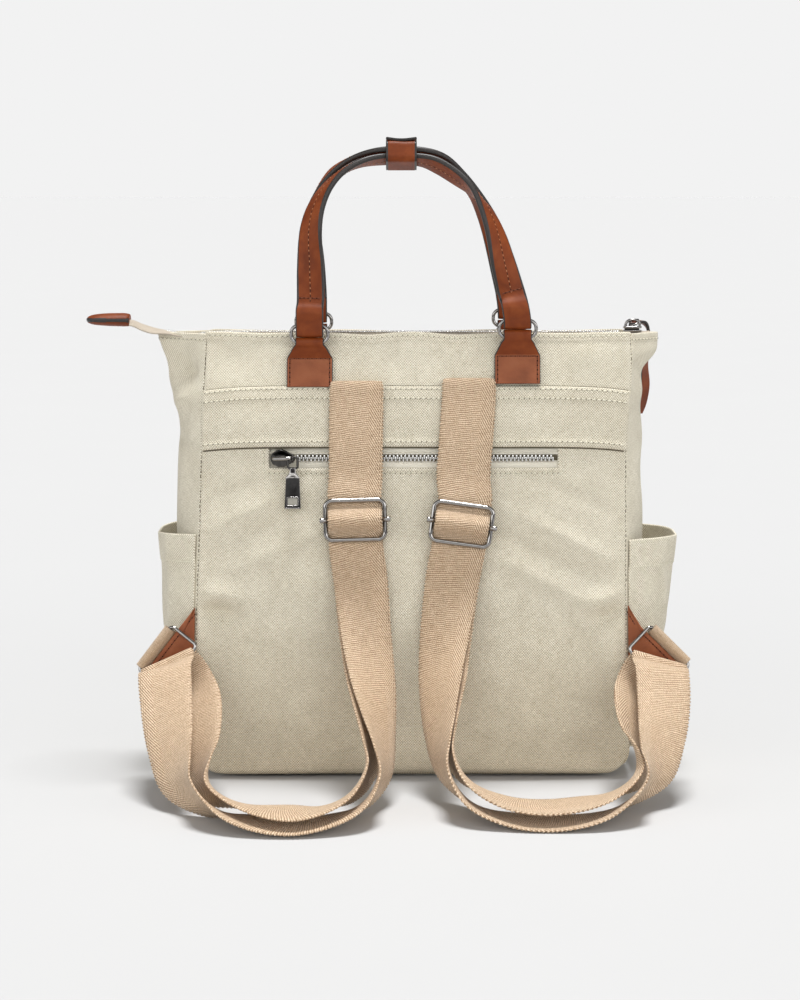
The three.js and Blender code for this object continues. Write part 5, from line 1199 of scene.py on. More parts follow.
# the window's pad is matte grey-beige: painted reflection of the canvas
pad = [(-3.5, -34.2), (3.5, -34.2), (3.5, -29.2), (-3.5, -29.2)]
v, f = plate_solid(pad, 0, 0.22, 0.08, 2, o=PO + p_out * 1.0, ex=V(1, 0, 0), ey=p_up, ez=p_out)
pull.add(v, f, mat=3)
# bright bevels at the shoulder and the foot
for outline in ([(-2.6, -11.8), (2.6, -11.8), (4.5, -14.2), (-4.5, -14.2)], [(-5.7, -36.8), (5.7, -36.8), (5.65, -36.4), (-5.65, -36.4)]):
    v, f = plate_solid(outline, 0, 0.3, 0.1, 2, o=PO + p_out * 0.82, ex=V(1, 0, 0), ey=p_up, ez=p_out)
    pull.add(v, f, mat=1)
pull.make("rear_zip_pull_plate", [GUN_M, METAL_M, BLACK_M, WINDOW_REFLECTION_M], slot="metal", replaces=("rear_zip_pull",), body="zip_pull")

# top zip: tape with its tail, teeth
def top_tape_z(x, y):
    return tape_z(x, y) - 0.085 * np.maximum(0, y) * smooth(165, 140, np.abs(x)) - 1.5 * smooth(186, 160, np.abs(x)) - 1.8 * hill(x, 0, -167, 0, 15, 1)


xs = np.concatenate([np.linspace(-209, -140, 70), np.linspace(-138, 138, 100), np.linspace(140, 176, 28)])
ks = np.linspace(-1, 1, 31)
XX, KK = np.meshgrid(xs, ks, indexing="ij")
YY = KK * at(TAPE, 1, XX)
tail = smooth(-178, -196, XX)
ZZ = top_tape_z(XX, YY) - 2.6 * tail * np.abs(KK) ** 2.2 + 0.25 * np.sin(XX / 13) * (1 - tail)
TP = np.stack([XX, YY, ZZ], -1)
# the top tape uses the darker copy of the tape weave: painted shade
tape_ob = shell("top_zip_tape_cloth", TP, np.stack([XX, YY], -1), TOP_TAPE_SHADED_M, thick=1.1, slot="zip_tape", replaces=("top_zip_tape",))
cut_size(TP)
h = Heap()
cx = np.linspace(-182, 156, 160)
teeth(h, np.stack([cx, 0 * cx, top_tape_z(cx, 0 * cx) + 0.95 - 1.7 * smooth(-150, -164, cx)], -1), V(1, 0, 0), V(0, 1, 0), V(0, 0, 1), 2.8, 2.55)
h.make("top_zip_teeth", [TEETH_M], slot="zip_chain", replaces=("top_zip_chain",))
for k, (yy, seed) in enumerate(((-1, 0), (1, 1))):
    px = np.linspace(-150, 150, 200)
    py = yy * 17.5 * np.ones_like(px)
    stitch_run(sew, np.stack([px, py, top_tape_z(px, py) + 0.3], -1), np.tile(V(0, 0, 1), (200, 1)), 4.4, 3.2, 0.34, lift=0.1, hole=0.45)

# leather tab folded over the tail
tab_rows = np.array([(-209.2, 7.6, 329.6, 337.8), (-210, 8.3, 329.1, 338.3), (-211, 8.8, 328.9, 338.6), (-214, 9.5, 328.9, 338.9), (-224, 10.5, 329.2, 338.8), (-231, 10.3, 329.7, 338.4), (-235, 9.7, 330.1, 337.9), (-238, 8.3, 330.8, 337.2), (-240, 6.2, 331.7, 336.3), (-241, 3.6, 332.9, 335.1)])
tx = np.concatenate([[-209.2, -209.6], np.linspace(-210, -234, 30), np.linspace(-235, -241, 14)])
order = np.argsort(tab_rows[:, 0])
tr = tab_rows[order]
half, low, high = (np.interp(tx, tr[:, 0], tr[:, k]) for k in (1, 2, 3))
aa = np.linspace(0, 2 * math.pi, 40, endpoint=False)
sec = []
for i in range(len(tx)):
    c, s = np.cos(aa), np.sin(aa)
    y = half[i] * np.sign(c) * np.abs(c) ** 0.55
    z = (low[i] + high[i]) / 2 + (high[i] - low[i]) / 2 * np.sign(s) * np.abs(s) ** 0.7 * (1 - 0.42 * np.abs(y / half[i]) ** 2.5)
    sec.append(np.stack([np.full(40, tx[i]), y, z], -1))
v, f, uv = tube(np.array(sec), uv_v=-tx, uv_u=np.arange(40) * 1.1)
f = outward(v, f)
cy, cz = v[:, 1], v[:, 2]
idx = []
mid_z = np.interp(v[:, 0], tx[::-1], ((low + high) / 2)[::-1])
hh = np.interp(v[:, 0], tx[::-1], half[::-1])
for g in f:
    ctr = v[g].mean(1)
    m = np.abs(ctr[:, 2] - np.interp(ctr[:, 0], tx[::-1], ((low + high) / 2)[::-1])) < 1.5
    side_edge = np.abs(ctr[:, 1]) > 0.8 * np.interp(ctr[:, 0], tx[::-1], half[::-1])
    idx.append(np.where(m & (side_edge | (ctr[:, 0] < -238.5)), 1, 0))
make("zip_tail_tab_leather", v, f, [LEATHER_M, EDGE_M], uv=uv, index=np.concatenate(idx), slot="leather", replaces=("zip_tail_tab",))

# slider, bail and leather pull at the right end
z = float(top_tape_z(164.0, 0.0)) + GAP + 0.2
h = Heap()
outline = [(157.2, -3.6), (159.0, -4.6), (167.5, -4.6), (170.6, -2.6), (170.8, 0), (170.6, 2.6), (167.5, 4.6), (159.0, 4.6), (157.2, 3.6), (156.9, 0)]
for z0_, dep in ((0.0, 1.4), (2.6, 1.6)):
    v, f = plate_solid(outline, 0, dep, 0.5, o=V(0, 0, z + z0_), ex=V(1, 0, 0), ey=V(0, 1, 0), ez=V(0, 0, 1))
    h.add(v, f, mat=1)
v, f = plate_solid([(158, -1.4), (169, -1.2), (169, 1.2), (158, 1.4)], 0, 2.6, 0.3, o=V(0, 0, z + 0.7), ex=V(1, 0, 0), ey=V(0, 1, 0), ez=V(0, 0, 1))
h.add(v, f)
arch = catmull(np.array([(a, 0, z + b) for a, b in [(158.8, 3.4), (159.2, 6.2), (161.2, 8.2), (164.6, 8.8), (168, 7.8), (169.2, 5.8), (169.4, 3.4)]]), [7] * 6)
v, f, uv = wire_loop(arch, 1.0, V(0, 1, 0), 12, False)
h.add(v, f, mat=1)
loop = rounded_loop(V(165.2, 1.2, z + 6.6), V(0.96, 0, 0.28), V(0.1, 0.94, 0.3), 6.8, 9.2, 2.2, 6, 4)
v, f, uv = wire_loop(loop, 0.75, unit(np.cross(V(0.96, 0, 0.28), V(0.1, 0.94, 0.3))), 10, True)
h.add(v, f, mat=1)
h.make("top_zip_slider_body", [GUN_M, METAL_M], slot="metal", replaces=("top_zip_slider",))


# ----------------------------------------------------------------------------
# Leather strips
# ----------------------------------------------------------------------------
def leather_strip(name, rows, width, thick, step=1.0, edge=0.75, crown=0.0, smoothing=3, bow=0.0, skin=None, above=None, **kw):
    """Strip of leather with rounded, painted edges. Returns the piece and its lines."""
    left, right, t, s, out = strip_lines(rows, width, thick, step)
    left, right = soften(left, smoothing), soften(right, smoothing)
    out = unit(soften(out, smoothing))
    mid, half = (left + right) / 2, np.linalg.norm(right - left, axis=1) / 2
    ax = unit(right - left)
    # profile: flat faces, half round edges
    na, ne = 13, 6
    a_top = np.linspace(-1, 1, na)
    sections, us, mats = [], [], []
    prof = []
    for a in a_top:
        prof.append((a, 1, 0, crown * (1 - a * a)))
    for k in range(1, ne):
        q = math.pi * k / ne
        prof.append((1, math.cos(q), math.sin(q), 0))
    for a in a_top[::-1]:
        prof.append((a, -1, 0, crown * (1 - a * a)))
    for k in range(1, ne):
        q = math.pi - math.pi * k / ne
        prof.append((-1, math.cos(q), math.sin(q), 0))
    S = np.zeros((len(mid), len(prof), 3))
    for j, (a, c, e, cr) in enumerate(prof):
        er = np.minimum(edge, t / 2)
        inner = half - er
        x = a * inner + np.sign(a) * er * e
        th = np.where(e > 0, c * t / 2, c * t / 2) + (np.sign(c) * cr if e == 0 else 0)
        S[:, j] = mid + ax * x[:, None] + out * (np.asarray(th) + bow * (a * a - 0.4))[:, None]
    u = np.array([a * width / 2 + np.sign(a) * e * edge for a, c, e, cr in prof]) + np.array([0 if c > 0 else 60 for a, c, e, cr in prof])
    verts, faces, uv = tube(S, uv_v=s, uv_u=u)
    faces = outward(verts, faces)
    m = len(prof)
    painted = np.array([not (prof[j][2] == 0 and prof[(j + 1) % m][2] == 0 and prof[j][1] == prof[(j + 1) % m][1]) for j in range(m)])
    idx = [np.where(np.tile(painted, len(mid) - 1), 1, 0)]
    idx += [np.ones(len(g), int) for g in faces[1:]]
    if above is not None:
        idx[0] = np.where((idx[0] == 0) & (verts[faces[0]].mean(1)[:, 2] > above), 2, idx[0])
    ob = make(name, verts, faces, [skin or LEATHER_M, EDGE_M, LEATHER_M], uv=uv, index=np.concatenate(idx), **kw)
    return ob, (mid, ax, out, half, t, s)


def c_row(x, y, z, n, **kw):
    return {"c": V(x, y, z), "n": V(*n), **kw}


# the leather thread heap's needle holes are dark marks of painted shade
lsew = Heap()      # thread on leather: 0 dark red, 1 needle holes, 2 light tan

zz = z + 6.3
pull_rows = [c_row(164.3, -2, zz - 0.25, (0, 0, 1), w=5, t=1.4), c_row(164.6, 4, zz - 0.25, (0, 0, 1), w=5.4, t=1.4), c_row(168, 9.5, zz + 0.2, (0, 0.1, 1), w=8, t=2),
             c_row(173.2, 12.6, 331.4, (0.3, 0.1, 0.95), w=10), c_row(177, 13.8, 326.4, (0.85, -0.1, 0.5), w=11), c_row(177.2, 14.4, 316, (0.95, -0.3, 0), w=11.5),
             c_row(174.6, 14.8, 300, (0.88, -0.48, 0), w=12), c_row(175, 14.8, 284, (0.75, -0.66, 0), w=12), c_row(173, 14.2, 270, (0.75, -0.66, 0), w=10.5),
             c_row(171.5, 13.8, 263, (0.75, -0.66, 0), w=6)]
leather_strip("top_zip_pull_leather", pull_rows, 12, 2.4, edge=0.9, slot="leather", replaces=("top_zip_pull",))

# ----------------------------------------------------------------------------
# Carry handles: rings, tabs, handles, keeper
# ----------------------------------------------------------------------------
rings = {}
for name, rx, rz, f_, drop, rise, lean, flare in HANDLE_RINGS:
    y = float(face_y(f_, np.array(rx), np.array(300.0))) + f_ * 2.2
    right, up = V(1, 0, 0), V(0, 0, 1)
    rings[name] = {"x": rx, "y": y, "z": rz, "face": f_, "right": right, "up": up, "drop": drop, "lean": lean}
    loop = rounded_loop(V(rx, y, rz), right, up, RING_W, RING_H, 5.6, 12, 8)
    v, f, uv = wire_loop(loop, RING_WIRE / 2, V(0, 1, 0), 16, True)
    make("handle_ring_%s_wire" % name, v, f, [METAL_M], uv=uv, slot="metal", replaces=("handle_ring_%s" % name,))
    t = 1.3
    foot = (YOKE_TOP + (3 if rx > 0 else 0.6)) if f_ < 0 else 286.0
    bar = V(rx, y, rz) - up * RING_H / 2
    x = bar[0]
    k = RING_WIRE / 2 + GAP + t / 2 + 0.35
    rise = rise + 0.5

    def sewn(zq, off, w, sgn=1, f_=f_, x=x):
        return c_row(x, float(skin_y(f_, np.array(x), np.array(zq))) + f_ * off, zq, (0, sgn * f_, 0), w=w)

    def eye(o, u_, f_=f_, bar=bar, up=up, right=right):
        c = bar + up * u_ + V(0, f_ * o, 0)
        return {"p": c - right * f_ * 10.2, "q": c + right * f_ * 10.2}

    def taper(d, o0, off, sgn, f_=f_, x=x, bar=bar, flare=flare, k=k):
        """Row of the tab on its straight taper, d below the bar."""
        w = d / flare
        a, b = bar[1] + f_ * o0, float(skin_y(f_, np.array(x), np.array(bar[2] - flare))) + f_ * off
        return c_row(x, a + (b - a) * w, bar[2] - d, (0, sgn * f_, 0.1), w=20.4 + 13.1 * w)

    lo, hi = 0.6 + t / 2, 1 + t * 1.5
    rows = [sewn(foot, lo, 33.5, -1), sewn((foot + bar[2] - flare) / 2, lo, 33.5, -1), sewn(bar[2] - flare - 1.0, lo, 33.5, -1), sewn(bar[2] - flare, lo, 33.5, -1)]
    rows += [taper(d, -k, lo, -1) for d in (flare - 1.0, flare * 0.75, flare * 0.5, flare * 0.25)]
    rows += [eye(-k, -1.2), eye(-k, rise), eye(-k * 0.72, rise + k * 0.72), eye(0, rise + k), eye(k * 0.72, rise + k * 0.72), eye(k, rise), eye(k, -1.2)]
    rows += [taper(d, k, hi, 1) for d in (flare * 0.25, flare * 0.5, flare * 0.75, flare - 1.0)]
    rows += [sewn(bar[2] - flare, hi, 33.5), sewn(bar[2] - flare - 1.0, hi, 33.5), sewn((foot + bar[2] - flare) / 2, hi, 33.5), sewn(foot, hi, 33.5)]
    ob, (mid, ax, out, half, tt, s) = leather_strip("handle_tab_%s_leather" % name, rows, 20, t, step=0.7, edge=0.6, smoothing=1, skin=TAB_M, above=bar[2] - flare + 0.6, slot="leather", replaces=("handle_tab_%s" % name,))
    # stitching: a row at the flare and one down each side of the sewn foot
    sel = np.where((s > s[-1] * 0.55) & (mid[:, 2] < bar[2] - flare + 0.2))[0]
    surf = mid + out * (tt / 2)[:, None]
    a = surf[sel[0]]
    w_ = half[sel[0]] - 2.2
    stitch_run(lsew, a + ax[sel[0]] * np.linspace(-w_, w_, 30)[:, None], np.tile(out[sel[0]], (30, 1)), 3.4, 2.3, 0.55, lift=0.16, hole=0.72, hole_long=1.2)
    for sg in (-1, 1):
        stitch_run(lsew, surf[sel] + ax[sel] * ((half[sel] - 2.2) * sg)[:, None], out[sel], 3.4, 2.3, 0.55, lift=0.16, hole=0.72, hole_long=1.2)

for name, f_ in (("back", -1), ("front", 1)):
    ends = [rings[name + "_left"], rings[name + "_right"]]

    def eye_rows(r, turn):
        t = 1.6
        k = RING_WIRE / 2 + GAP + t / 2 + 0.25
        d = r["drop"] + 0.8
        bar = V(r["x"], r["y"], r["z"]) + r["up"] * RING_H / 2
        res = []
        for o, u_ in [(-k, 11.5), (-k, 3), (-k, 0.4 - d), (-k * 0.72, -d - k * 0.72), (0, -d - k), (k * 0.72, -d - k * 0.72), (k, 0.4 - d), (k, 3), (k, 11)]:
            c = bar + r["up"] * u_ + V(r["lean"] * max(0, u_), f_ * o, 0)
            res.append({"p": c - r["right"] * turn * HANDLE_W / 2, "q": c + r["right"] * turn * HANDLE_W / 2, "t": t})
        return res

    rows = eye_rows(ends[0], -f_) + [c_row(*r[:3], r[3:], t=HANDLE_T) for r in HANDLE[name]] + eye_rows(ends[1], f_)[::-1]
    ob, (mid, ax, out, half, tt, s) = leather_strip("handle_%s_leather" % name, rows, HANDLE_W, HANDLE_T, step=1.0, edge=1.6, crown=0.35, smoothing=4, slot="leather", replaces=("handle_%s" % name,))
    # centre row of stitches on both faces of the handle, and a short row across where each end loop is sewn
    body = np.where(tt > 3.7)[0]
    for sg in (1, -1):
        surf = mid[body] + out[body] * (sg * (tt[body] / 2 + 0.33))[:, None]
        stitch_run(lsew, surf, out[body] * sg, 3.9, 1.3, 0.36, lift=0.1, hole=0.62, thread_mat=2, hole_long=1.7)
    for i in (body[0] + 3, body[-1] - 3):
        sg = 1 if out[i][1] * f_ > 0 else -1
        w_ = half[i] - 2.4
        stitch_run(lsew, mid[i] + ax[i] * np.linspace(-w_, w_, 24)[:, None] + out[i] * sg * (tt[i] / 2 + 0.36), np.tile(out[i] * sg, (24, 1)), 3.0, 2.1, 0.52, lift=0.15, hole=0.62, hole_long=1.2)

# keeper band round both handles
KX0, KX1 = -19.0, 3.6
q = rad(18)
ey, ez = V(0, math.cos(q), -math.sin(q)), V(0, math.sin(q), math.cos(q))
ko = V(0, -2.1, 454.3)
w, hgt, t = HANDLE_W + 2.2, HANDLE_T * 2 + 3.9, 2.1


def keeper_ring(grow, r):
    return rounded_loop(V(0, 0, 0), V(1, 0, 0), V(0, 1, 0), w + 2 * grow, hgt + 2 * grow, r, 8, 8)


outer, inner = keeper_ring(t, 4.2), keeper_ring(0, 2.2)
prof_x = []
for k in range(7):
    qq = math.pi / 2 * k / 6
    prof_x.append((KX0 + 0.8 * (1 - math.sin(qq)), 0.8 * (1 - math.cos(qq))))
xs_ = [p for p in prof_x] + [(x_, 0.0) for x_ in np.linspace(KX0 + 1.6, KX1 - 1.6, 16)] + [(KX1 - (p[0] - KX0), p[1]) for p in prof_x[::-1]]
S, lab = [], []
for x_, ins in xs_:
    g = 1 - ins / t
    pts = inner + (outer - inner) * g
    wav = 0.25 * math.sin(x_ / 3.1)
    S.append(ko + pts[:, :1] * ey + (pts[:, 1:2] + wav * (pts[:, 1:2] > 0)) * ez + V(x_, 0, 0))
    lab.append(0 if ins < 0.02 else 1)
for x_ in np.linspace(KX1 - 0.2, KX0 + 0.2, 16):
    S.append(ko + inner[:, :1] * ey + inner[:, 1:2] * ez + V(x_, 0, 0))
    lab.append(0)
S = np.array(S)
v, f, uv = tube(S, ring=True, uv_v=np.arange(len(S)) * 1.2, uv_u=np.arange(S.shape[1]) * 0.9)
f = outward(v, f)
ring_lab = np.repeat([max(lab[i], lab[(i + 1) % len(lab)]) for i in range(len(lab))], S.shape[1])
kh = Heap()
make("handle_keeper_band", v, f, [LEATHER_M, EDGE_M], uv=uv, index=ring_lab, slot="leather", replaces=("handle_keeper",))
# lapped end of the band on top, its painted end towards the back
flap_rows = []
for yy, zz2 in [(-12.4, hgt / 2 + t + 0.4), (-10, hgt / 2 + t + 1.0), (-4, hgt / 2 + t + 1.1), (3, hgt / 2 + t + 1.05), (7.5, hgt / 2 + t + 0.6), (9.8, hgt / 2 + t - 0.3)]:
    c = ko + ey * yy + ez * zz2 + V((KX0 + KX1) / 2, 0, 0)
    flap_rows.append({"p": c + V(-(KX1 - KX0) / 2, 0, 0), "q": c + V((KX1 - KX0) / 2, 0, 0), "t": 2.0})
leather_strip("handle_keeper_lap", flap_rows, KX1 - KX0, 2.0, step=0.8, edge=0.8, bow=1.0, slot="leather")

# ----------------------------------------------------------------------------
# Shoulder straps
# ----------------------------------------------------------------------------
def webbing(name, rows, width, thick, **kw):
    """Webbing with a cambered section and looped selvedges along both edges."""
    left, right, t, s, out = strip_lines(rows, width, thick, 0.58)
    left, right = soften(left, 10), soften(right, 10)
    mid = (left + right) / 2
    along = np.gradient(mid, axis=0)
    out = unit(np.cross(right - left, along))
    out = unit(soften(out, 10))
    half, ax = np.linalg.norm(right - left, axis=1) / 2, unit(right - left)
    na = 9
    a = np.linspace(-1, 1, na)
    prof = [(x, 1 - 0.30 * abs(x) ** 10, 0) for x in a] + [(1, 0.0, 1)] + [(x, -1 + 0.30 * abs(x) ** 10, 0) for x in a[::-1]] + [(-1, 0.0, 1)]
    pitch = 2.6
    S = np.zeros((len(mid), len(prof), 3))
    for j, (x, c, e) in enumerate(prof):
        scallop = 1.15 * (np.abs(np.sin(math.pi * s / pitch + (0.9 if x < 0 else 0))) - 0.62)
        wave = scallop * smooth(0.80, 1.0, abs(x))
        thick_here = t / 2 * c * (1 + (0.22 * np.sin(2 * math.pi * s / pitch) if 0.9 < abs(x) <= 1 else 0))
        S[:, j] = mid + ax * (x * half + np.sign(x) * (wave + 0.55 * e))[:, None] + out * np.asarray(thick_here * np.ones(len(mid)))[:, None]
    u = np.array([x * width / 2 + np.sign(x) * e * 0.6 for x, c, e in prof])
    verts, faces, uv = tube(S, uv_v=s, uv_u=u)
    faces = outward(verts, faces)
    ob = make(name, verts, faces, [WEB_M], uv=uv, **kw)
    return ob, s[-1], (mid, ax, out, half, t, s)


def buckle_frame(b):
    bx, by, bz, lean, turn = b
    l, tt = rad(lean), rad(turn)
    up0, o = V(0, math.sin(l), math.cos(l)), V(0, -math.cos(l), math.sin(l))
    r0 = V(1, 0, 0)
    return {"o": V(bx, by, bz), "right": r0 * math.cos(tt) + up0 * math.sin(tt), "up": up0 * math.cos(tt) - r0 * math.sin(tt), "out": o}


def anchor_frame(a):
    along = unit(V(*a["along"]))
    inward = V(*a["inward"])
    inward = unit(inward - along * inward.dot(along))
    out = unit(np.cross(along, inward))
    if out[1] > 0:
        out = -out
    return {"o": V(*a["at"]), "along": along, "inward": inward, "out": out, "across": inward * math.cos(rad(22)) + out * math.sin(rad(22))}


for side in ("left", "right"):
    st, sgn = STRAP[side], (-1 if side == "left" else 1)
    f_ = buckle_frame(st["buckle"])
    a_ = anchor_frame(ANCHOR[side])
    loc = lambda r, u_, o: f_["o"] + f_["right"] * r + f_["up"] * u_ + f_["out"] * o
    loop = rounded_loop(f_["o"], f_["right"], f_["up"], 43, 28.5, 5, 12, 14)
    v, f, uv = wire_loop(loop, 1.7, f_["out"], 18, True)
    make("buckle_frame_%s_wire" % side, v, f, [METAL_M], uv=uv, slot="metal", replaces=("buckle_frame_%s" % side,))
    kk = [-25.62, -25.6, -25.3, -24.4, -22.6, -22.4, -22.2, 0, 22.2, 22.4, 22.6, 24.4, 25.3, 25.6, 25.62]
    kr = [0.4, 1.55, 1.9, 2.0, 2.0, 1.9, 1.7, 1.7, 1.7, 1.9, 2.0, 2.0, 1.9, 1.55, 0.4]
    qs = np.linspace(0, 2 * math.pi, 18, endpoint=False)
    sec = [np.array([loc(k, r * math.cos(x), 3.6 + r * math.sin(x)) for x in qs]) for k, r in zip(kk, kr)]
    v, f, uv = tube(np.array(sec))
    make("buckle_bar_%s_rod" % side, v, outward(v, f), [METAL_M], uv=uv, slot="metal", replaces=("buckle_bar_%s" % side,))

    tx_, zt = st["top"]
    bx = st["buckle"][0]
    ytop = lambda zq, off: float(face_y(-1, np.array(tx_), np.array(zq))) - off
    rows = [c_row(tx_, ytop(zt, 1.45), zt + 0.2, (0, 1, 0.1), w=34.5), c_row(tx_, ytop(zt, 1.7), zt + 2.2, (0, 0.9, 0.5), w=34.5),
            c_row(tx_, ytop(zt, 3.4), zt + 4.2, (0, 0, 1), w=35), c_row(tx_, ytop(zt, 5.6), zt + 1.6, (0, -0.9, 0.4), w=37.4),
            c_row(tx_, ytop(zt - 8, 5.5), zt - 8, (0, -1, 0.14)), c_row(tx_ + (bx - tx_) * 0.45, ytop(246, 5.6), 246, (0, -1, 0.14)),
            c_row(tx_ + (bx - tx_) * 0.75, ytop(222, 5.2), 222, (0, -1, 0.14))]
    for u_, o, tip in BUCKLE_OVER:
        rows.append({"c": loc(0, u_, o), "n": f_["out"] + f_["up"] * tip})
    rows += [c_row(*r[:3], r[3:]) for r in st["outer"]]
    in_ring = lambda c: a_["o"] + a_["inward"] * c[0] + a_["along"] * c[1] + a_["out"] * c[2]
    for near, far in RING_TURN:
        rows.append({"p": in_ring(far), "q": in_ring(near)} if sgn < 0 else {"p": in_ring(near), "q": in_ring(far)})
    rows += [c_row(*r[:3], r[3:]) for r in st["inner"]]
    for u_, o in BUCKLE_BACK:
        rows.append({"c": loc(0, u_, o), "n": -f_["out"]})
    ob, length, lines = webbing("shoulder_strap_%s_web" % side, rows, WEB_W, WEB_T, slot="webbing", replaces=("shoulder_strap_%s" % side,))

    # lower ring, webbing loop and leather
    plane = unit(np.cross(a_["along"], a_["across"]))
    mid_r = a_["o"] + a_["across"] * 24.6 / 2
    loop = rounded_loop(mid_r, a_["along"], a_["across"], 40.5, 24.6, 3.4, 10, 12)
    v, f, uv = wire_loop(loop, 1.3, plane, 16, True)
    make("anchor_ring_%s_wire" % side, v, f, [METAL_M], uv=uv, slot="metal", replaces=("anchor_ring_%s" % side,))
    r_in, r_out = 1.3 + GAP, 1.3 + GAP + WEB_T
    arc = lambda r, qd: (r * math.cos(rad(qd)), r * math.sin(rad(qd)))
    prof = [(12, -6.7), (12, -4.7), (6, -4.65), (1.6, -4.6)] + [arc(r_in, x) for x in np.linspace(250, 40, 22)] + [(3.4, -4.1), (7, -4.1), (11, -4.1), (11, -2.1), (8, -2.1), (5, -2.1)] + \
           [arc(r_out, x) for x in np.linspace(50, 235, 26)] + [(0.6, -6.6), (6, -6.65)]
    prof = np.array(prof)
    ls = np.linspace(-35.4 / 2, 35.4 / 2, 100)
    sec = []
    for l_ in ls:
        grow = 1 + 0.02 * math.sin(l_ * 3.1)
        sec.append(a_["o"] + a_["along"] * l_ + prof[:, :1] * a_["inward"] * grow + prof[:, 1:2] * a_["out"] * grow)
    pl = np.concatenate([[0], np.cumsum(np.linalg.norm(np.diff(prof, axis=0), axis=1))])
    v, f, uv = tube(np.array(sec), uv_v=ls * 1.6, uv_u=pl * 2.0)
    make("anchor_loop_%s_web" % side, v, outward(v, f), [WEB_M], uv=uv[:, ::-1].copy(), slot="webbing", replaces=("anchor_loop_%s" % side,))

    back = a_["o"] + a_["out"] * -1.7
    inw, alo = a_["inward"], a_["along"]

    def on_seam(zq):
        dx = float(at(SECTION, S_XL if sgn < 0 else S_XR, zq)) + sgn * 0.7 - back[0]
        dz = zq - back[2]
        det = inw[0] * alo[2] - alo[0] * inw[2]
        return (dx * alo[2] - alo[0] * dz) / det, (inw[0] * dz - dx * inw[2]) / det

    apex = ANCHOR[side]["apex"]
    outline = [on_seam(apex), (5.4, -24), (5.2, 19.5), (8, 22.5), on_seam(apex - 41), on_seam(apex - 18)]
    v, f = plate_solid(outline, 0, 2.0, 0.6, 4, o=back, ex=inw, ey=alo, ez=a_["out"])
    uvp = np.stack([(v - back) @ inw, (v - back) @ alo], -1)
    ctr = [v[g].mean(1) for g in f]
    hgt_ = [((c - back) @ a_["out"]) for c in ctr]
    idx = np.concatenate([np.where((g > 0.12) & (g < 1.82), 1, 0) for g in hgt_])
    make("anchor_leather_%s_patch" % side, v, f, [TAB_M, ORANGE_M], uv=uvp, index=idx, slot="leather", replaces=("anchor_leather_%s" % side,))
    for (pa, pb, ins) in ((np.array(on_seam(apex)), np.array((5.4, -24.0)), 3.0), (np.array((5.4, -24.0)), np.array((5.2, 19.5)), 3.0)):
        d = unit(pb - pa)
        nrm = np.array([-d[1], d[0]])
        cen = np.mean(np.array(outline), 0)
        if (cen - pa) @ nrm < 0:
            nrm = -nrm
        line2 = pa + nrm * ins + d * 4 + (pb - pa - d * 7) * np.linspace(0, 1, 40)[:, None]
        pts = back + line2[:, :1] * inw + line2[:, 1:] * alo + a_["out"] * 2.05
        stitch_run(lsew, pts, np.tile(a_["out"], (40, 1)), 3.6, 2.4, 0.5, lift=0.16, hole=0.66, hole_long=1.2)

# the canvas stitching piece includes the dark marks of painted shade
sew.make("canvas_stitching", [THREAD_M, PAINTED_SHADE_M], slot="canvas")
lsew.make("leather_stitching", [RED_THREAD_M, LEATHER_HOLE_M, TAN_THREAD_M], slot="leather")

# ----------------------------------------------------------------------------
# Floor, light and camera
# ----------------------------------------------------------------------------
def floor():
    """Pale floor out to the horizon, where it meets a backdrop of the same brightness."""
    xs = np.concatenate([-np.geomspace(400, 0.6, 12), np.linspace(-0.5, 0.5, 9), np.geomspace(0.6, 400, 12)])
    ys = np.concatenate([-np.geomspace(60, 0.6, 8), np.linspace(-0.5, 0.5, 9), np.geomspace(0.6, 900, 14)])
    P = np.array([[(x, y, -0.0003) for y in ys] for x in xs], float)
    n, m = P.shape[:2]
    ids = np.arange(n * m).reshape(n, m)
    F = np.stack([ids[:-1, :-1].ravel(), ids[1:, :-1].ravel(), ids[1:, 1:].ravel(), ids[:-1, 1:].ravel()], -1)
    k = Nodes("floor_pale", Roughness=1.0, Specular_IOR_Level=0.0)
    nz = k.noise(k.object_mm(), 0.004, 2.0)
    k.colour(k.ramp(nz, [(0.0, (FLOOR - 0.004,) * 3), (1.0, (FLOOR + 0.004,) * 3)]))
    me = bpy.data.meshes.new("floor")
    me.from_pydata(P.reshape(-1, 3).tolist(), [], F.tolist())
    me.materials.append(k.m)
    ob = bpy.data.objects.new("floor", me)
    bpy.context.scene.collection.objects.link(ob)


FLOOR, PALE = 0.521, 0.888
floor()

world = bpy.data.worlds.new("studio")
bpy.context.scene.world = world
world.use_nodes = True
wt = world.node_tree
wt.nodes.clear()


def wnode(kind, **props):
    n = wt.nodes.new(kind)
    for k_, v_ in props.items():
        setattr(n, k_, v_)
    return n


def wramp(value, stops):
    n = wnode("ShaderNodeValToRGB")
    el = n.color_ramp.elements
    while len(el) < len(stops):
        el.new(0.5)
    for e, (p, c) in zip(el, stops):
        e.position, e.color = p, (c, c, c, 1)
    wt.links.new(value, n.inputs[0])
    return n.outputs[0]


# a pale room: soft boxes before the bag, a dark strip and a dark band behind the camera, a plain backdrop
tc, sp = wnode("ShaderNodeTexCoord"), wnode("ShaderNodeSeparateXYZ")
wt.links.new(tc.outputs["Generated"], sp.inputs[0])
side_ = wnode("ShaderNodeMapRange", interpolation_type="SMOOTHSTEP")
wt.links.new(sp.outputs[1], side_.inputs[0])
side_.inputs[1].default_value, side_.inputs[2].default_value = -0.3, 0.3
front_l = wramp(sp.outputs[2], [(0.0, 0.15), (0.1, 0.15), (0.17, 2.5), (0.42, 2.5), (0.56, 0.35), (1.0, 0.25)])
back_l = wramp(sp.outputs[2], [(0.0, PALE), (0.13, PALE), (0.2, 0.15), (1.0, 0.2)])
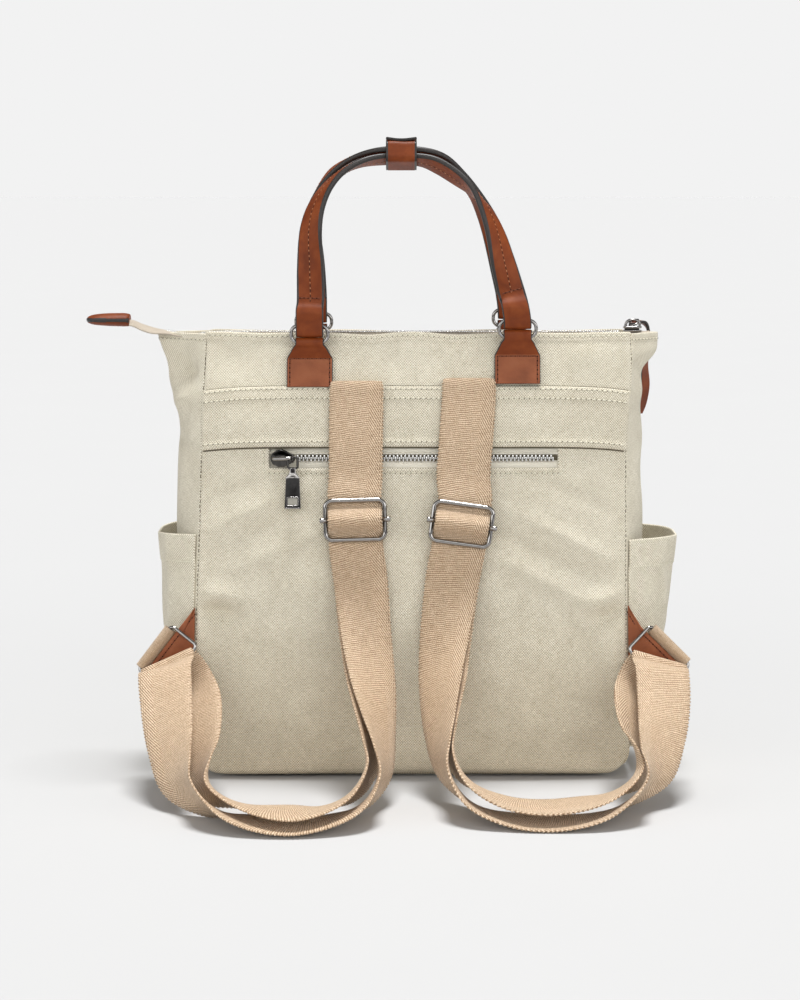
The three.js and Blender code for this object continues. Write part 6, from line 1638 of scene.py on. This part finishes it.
# two soft boxes, one to each side of the camera, the right one stronger
apart = wnode("ShaderNodeMath", operation="ABSOLUTE")
wt.links.new(sp.outputs[0], apart.inputs[0])
apart_l = wramp(apart.outputs[0], [(0.0, 0.04), (0.12, 0.04), (0.28, 1.0), (0.8, 1.0), (1.0, 0.6)])
lean_w = wnode("ShaderNodeMath", operation="MULTIPLY_ADD")
wt.links.new(sp.outputs[0], lean_w.inputs[0])
lean_w.inputs[1].default_value, lean_w.inputs[2].default_value = 0.06, 1.0
lean_x = wnode("ShaderNodeMath", operation="MULTIPLY")
wt.links.new(lean_w.outputs[0], lean_x.inputs[0])
wt.links.new(apart_l, lean_x.inputs[1])
front_x = wnode("ShaderNodeVectorMath", operation="SCALE")
wt.links.new(front_l, front_x.inputs[0])
wt.links.new(lean_x.outputs[0], front_x.inputs["Scale"])
# a narrow lamp above the camera, between the two
lamp_z = wramp(sp.outputs[2], [(0.0, 0.0), (0.24, 0.0), (0.32, 1.7), (0.74, 1.7), (0.82, 0.0)])
lamp_x = wramp(apart.outputs[0], [(0.0, 1.0), (0.14, 1.0), (0.28, 0.0)])
lamp = wnode("ShaderNodeVectorMath", operation="MULTIPLY")
wt.links.new(lamp_z, lamp.inputs[0])
wt.links.new(lamp_x, lamp.inputs[1])
front_y = wnode("ShaderNodeVectorMath", operation="ADD")
wt.links.new(front_x.outputs[0], front_y.inputs[0])
wt.links.new(lamp.outputs[0], front_y.inputs[1])
mixw = wnode("ShaderNodeMix", data_type="RGBA")
wt.links.new(side_.outputs[0], mixw.inputs[0])
wt.links.new(front_y.outputs[0], mixw.inputs[6])
wt.links.new(back_l, mixw.inputs[7])
bg, wo = wnode("ShaderNodeBackground"), wnode("ShaderNodeOutputWorld")
wt.links.new(mixw.outputs[2], bg.inputs[0])
bg.inputs[1].default_value = 1.0
wt.links.new(bg.outputs[0], wo.inputs[0])

sun_data = bpy.data.lights.new("overhead", "SUN")
sun_data.energy, sun_data.angle = 3.8, rad(19)
sun = bpy.data.objects.new("overhead", sun_data)
sun.rotation_euler = (Vector((0, 0, 0)) - Vector((0.06, 0.07, 1.0))).to_track_quat("-Z", "Y").to_euler()
bpy.context.scene.collection.objects.link(sun)

cam_data = bpy.data.cameras.new("camera")
cam_data.lens, cam_data.sensor_width, cam_data.sensor_fit = 82.04, 36.0, "AUTO"
cam_data.clip_start, cam_data.clip_end = 0.05, 2000.0
cam = bpy.data.objects.new("camera", cam_data)
cam.location = (-0.0087, -1.695, 0.425)
cam.rotation_euler = (rad(82.4), 0, 0)
bpy.context.scene.collection.objects.link(cam)
bpy.context.scene.camera = cam
bpy.context.scene.view_settings.view_transform = "Standard"
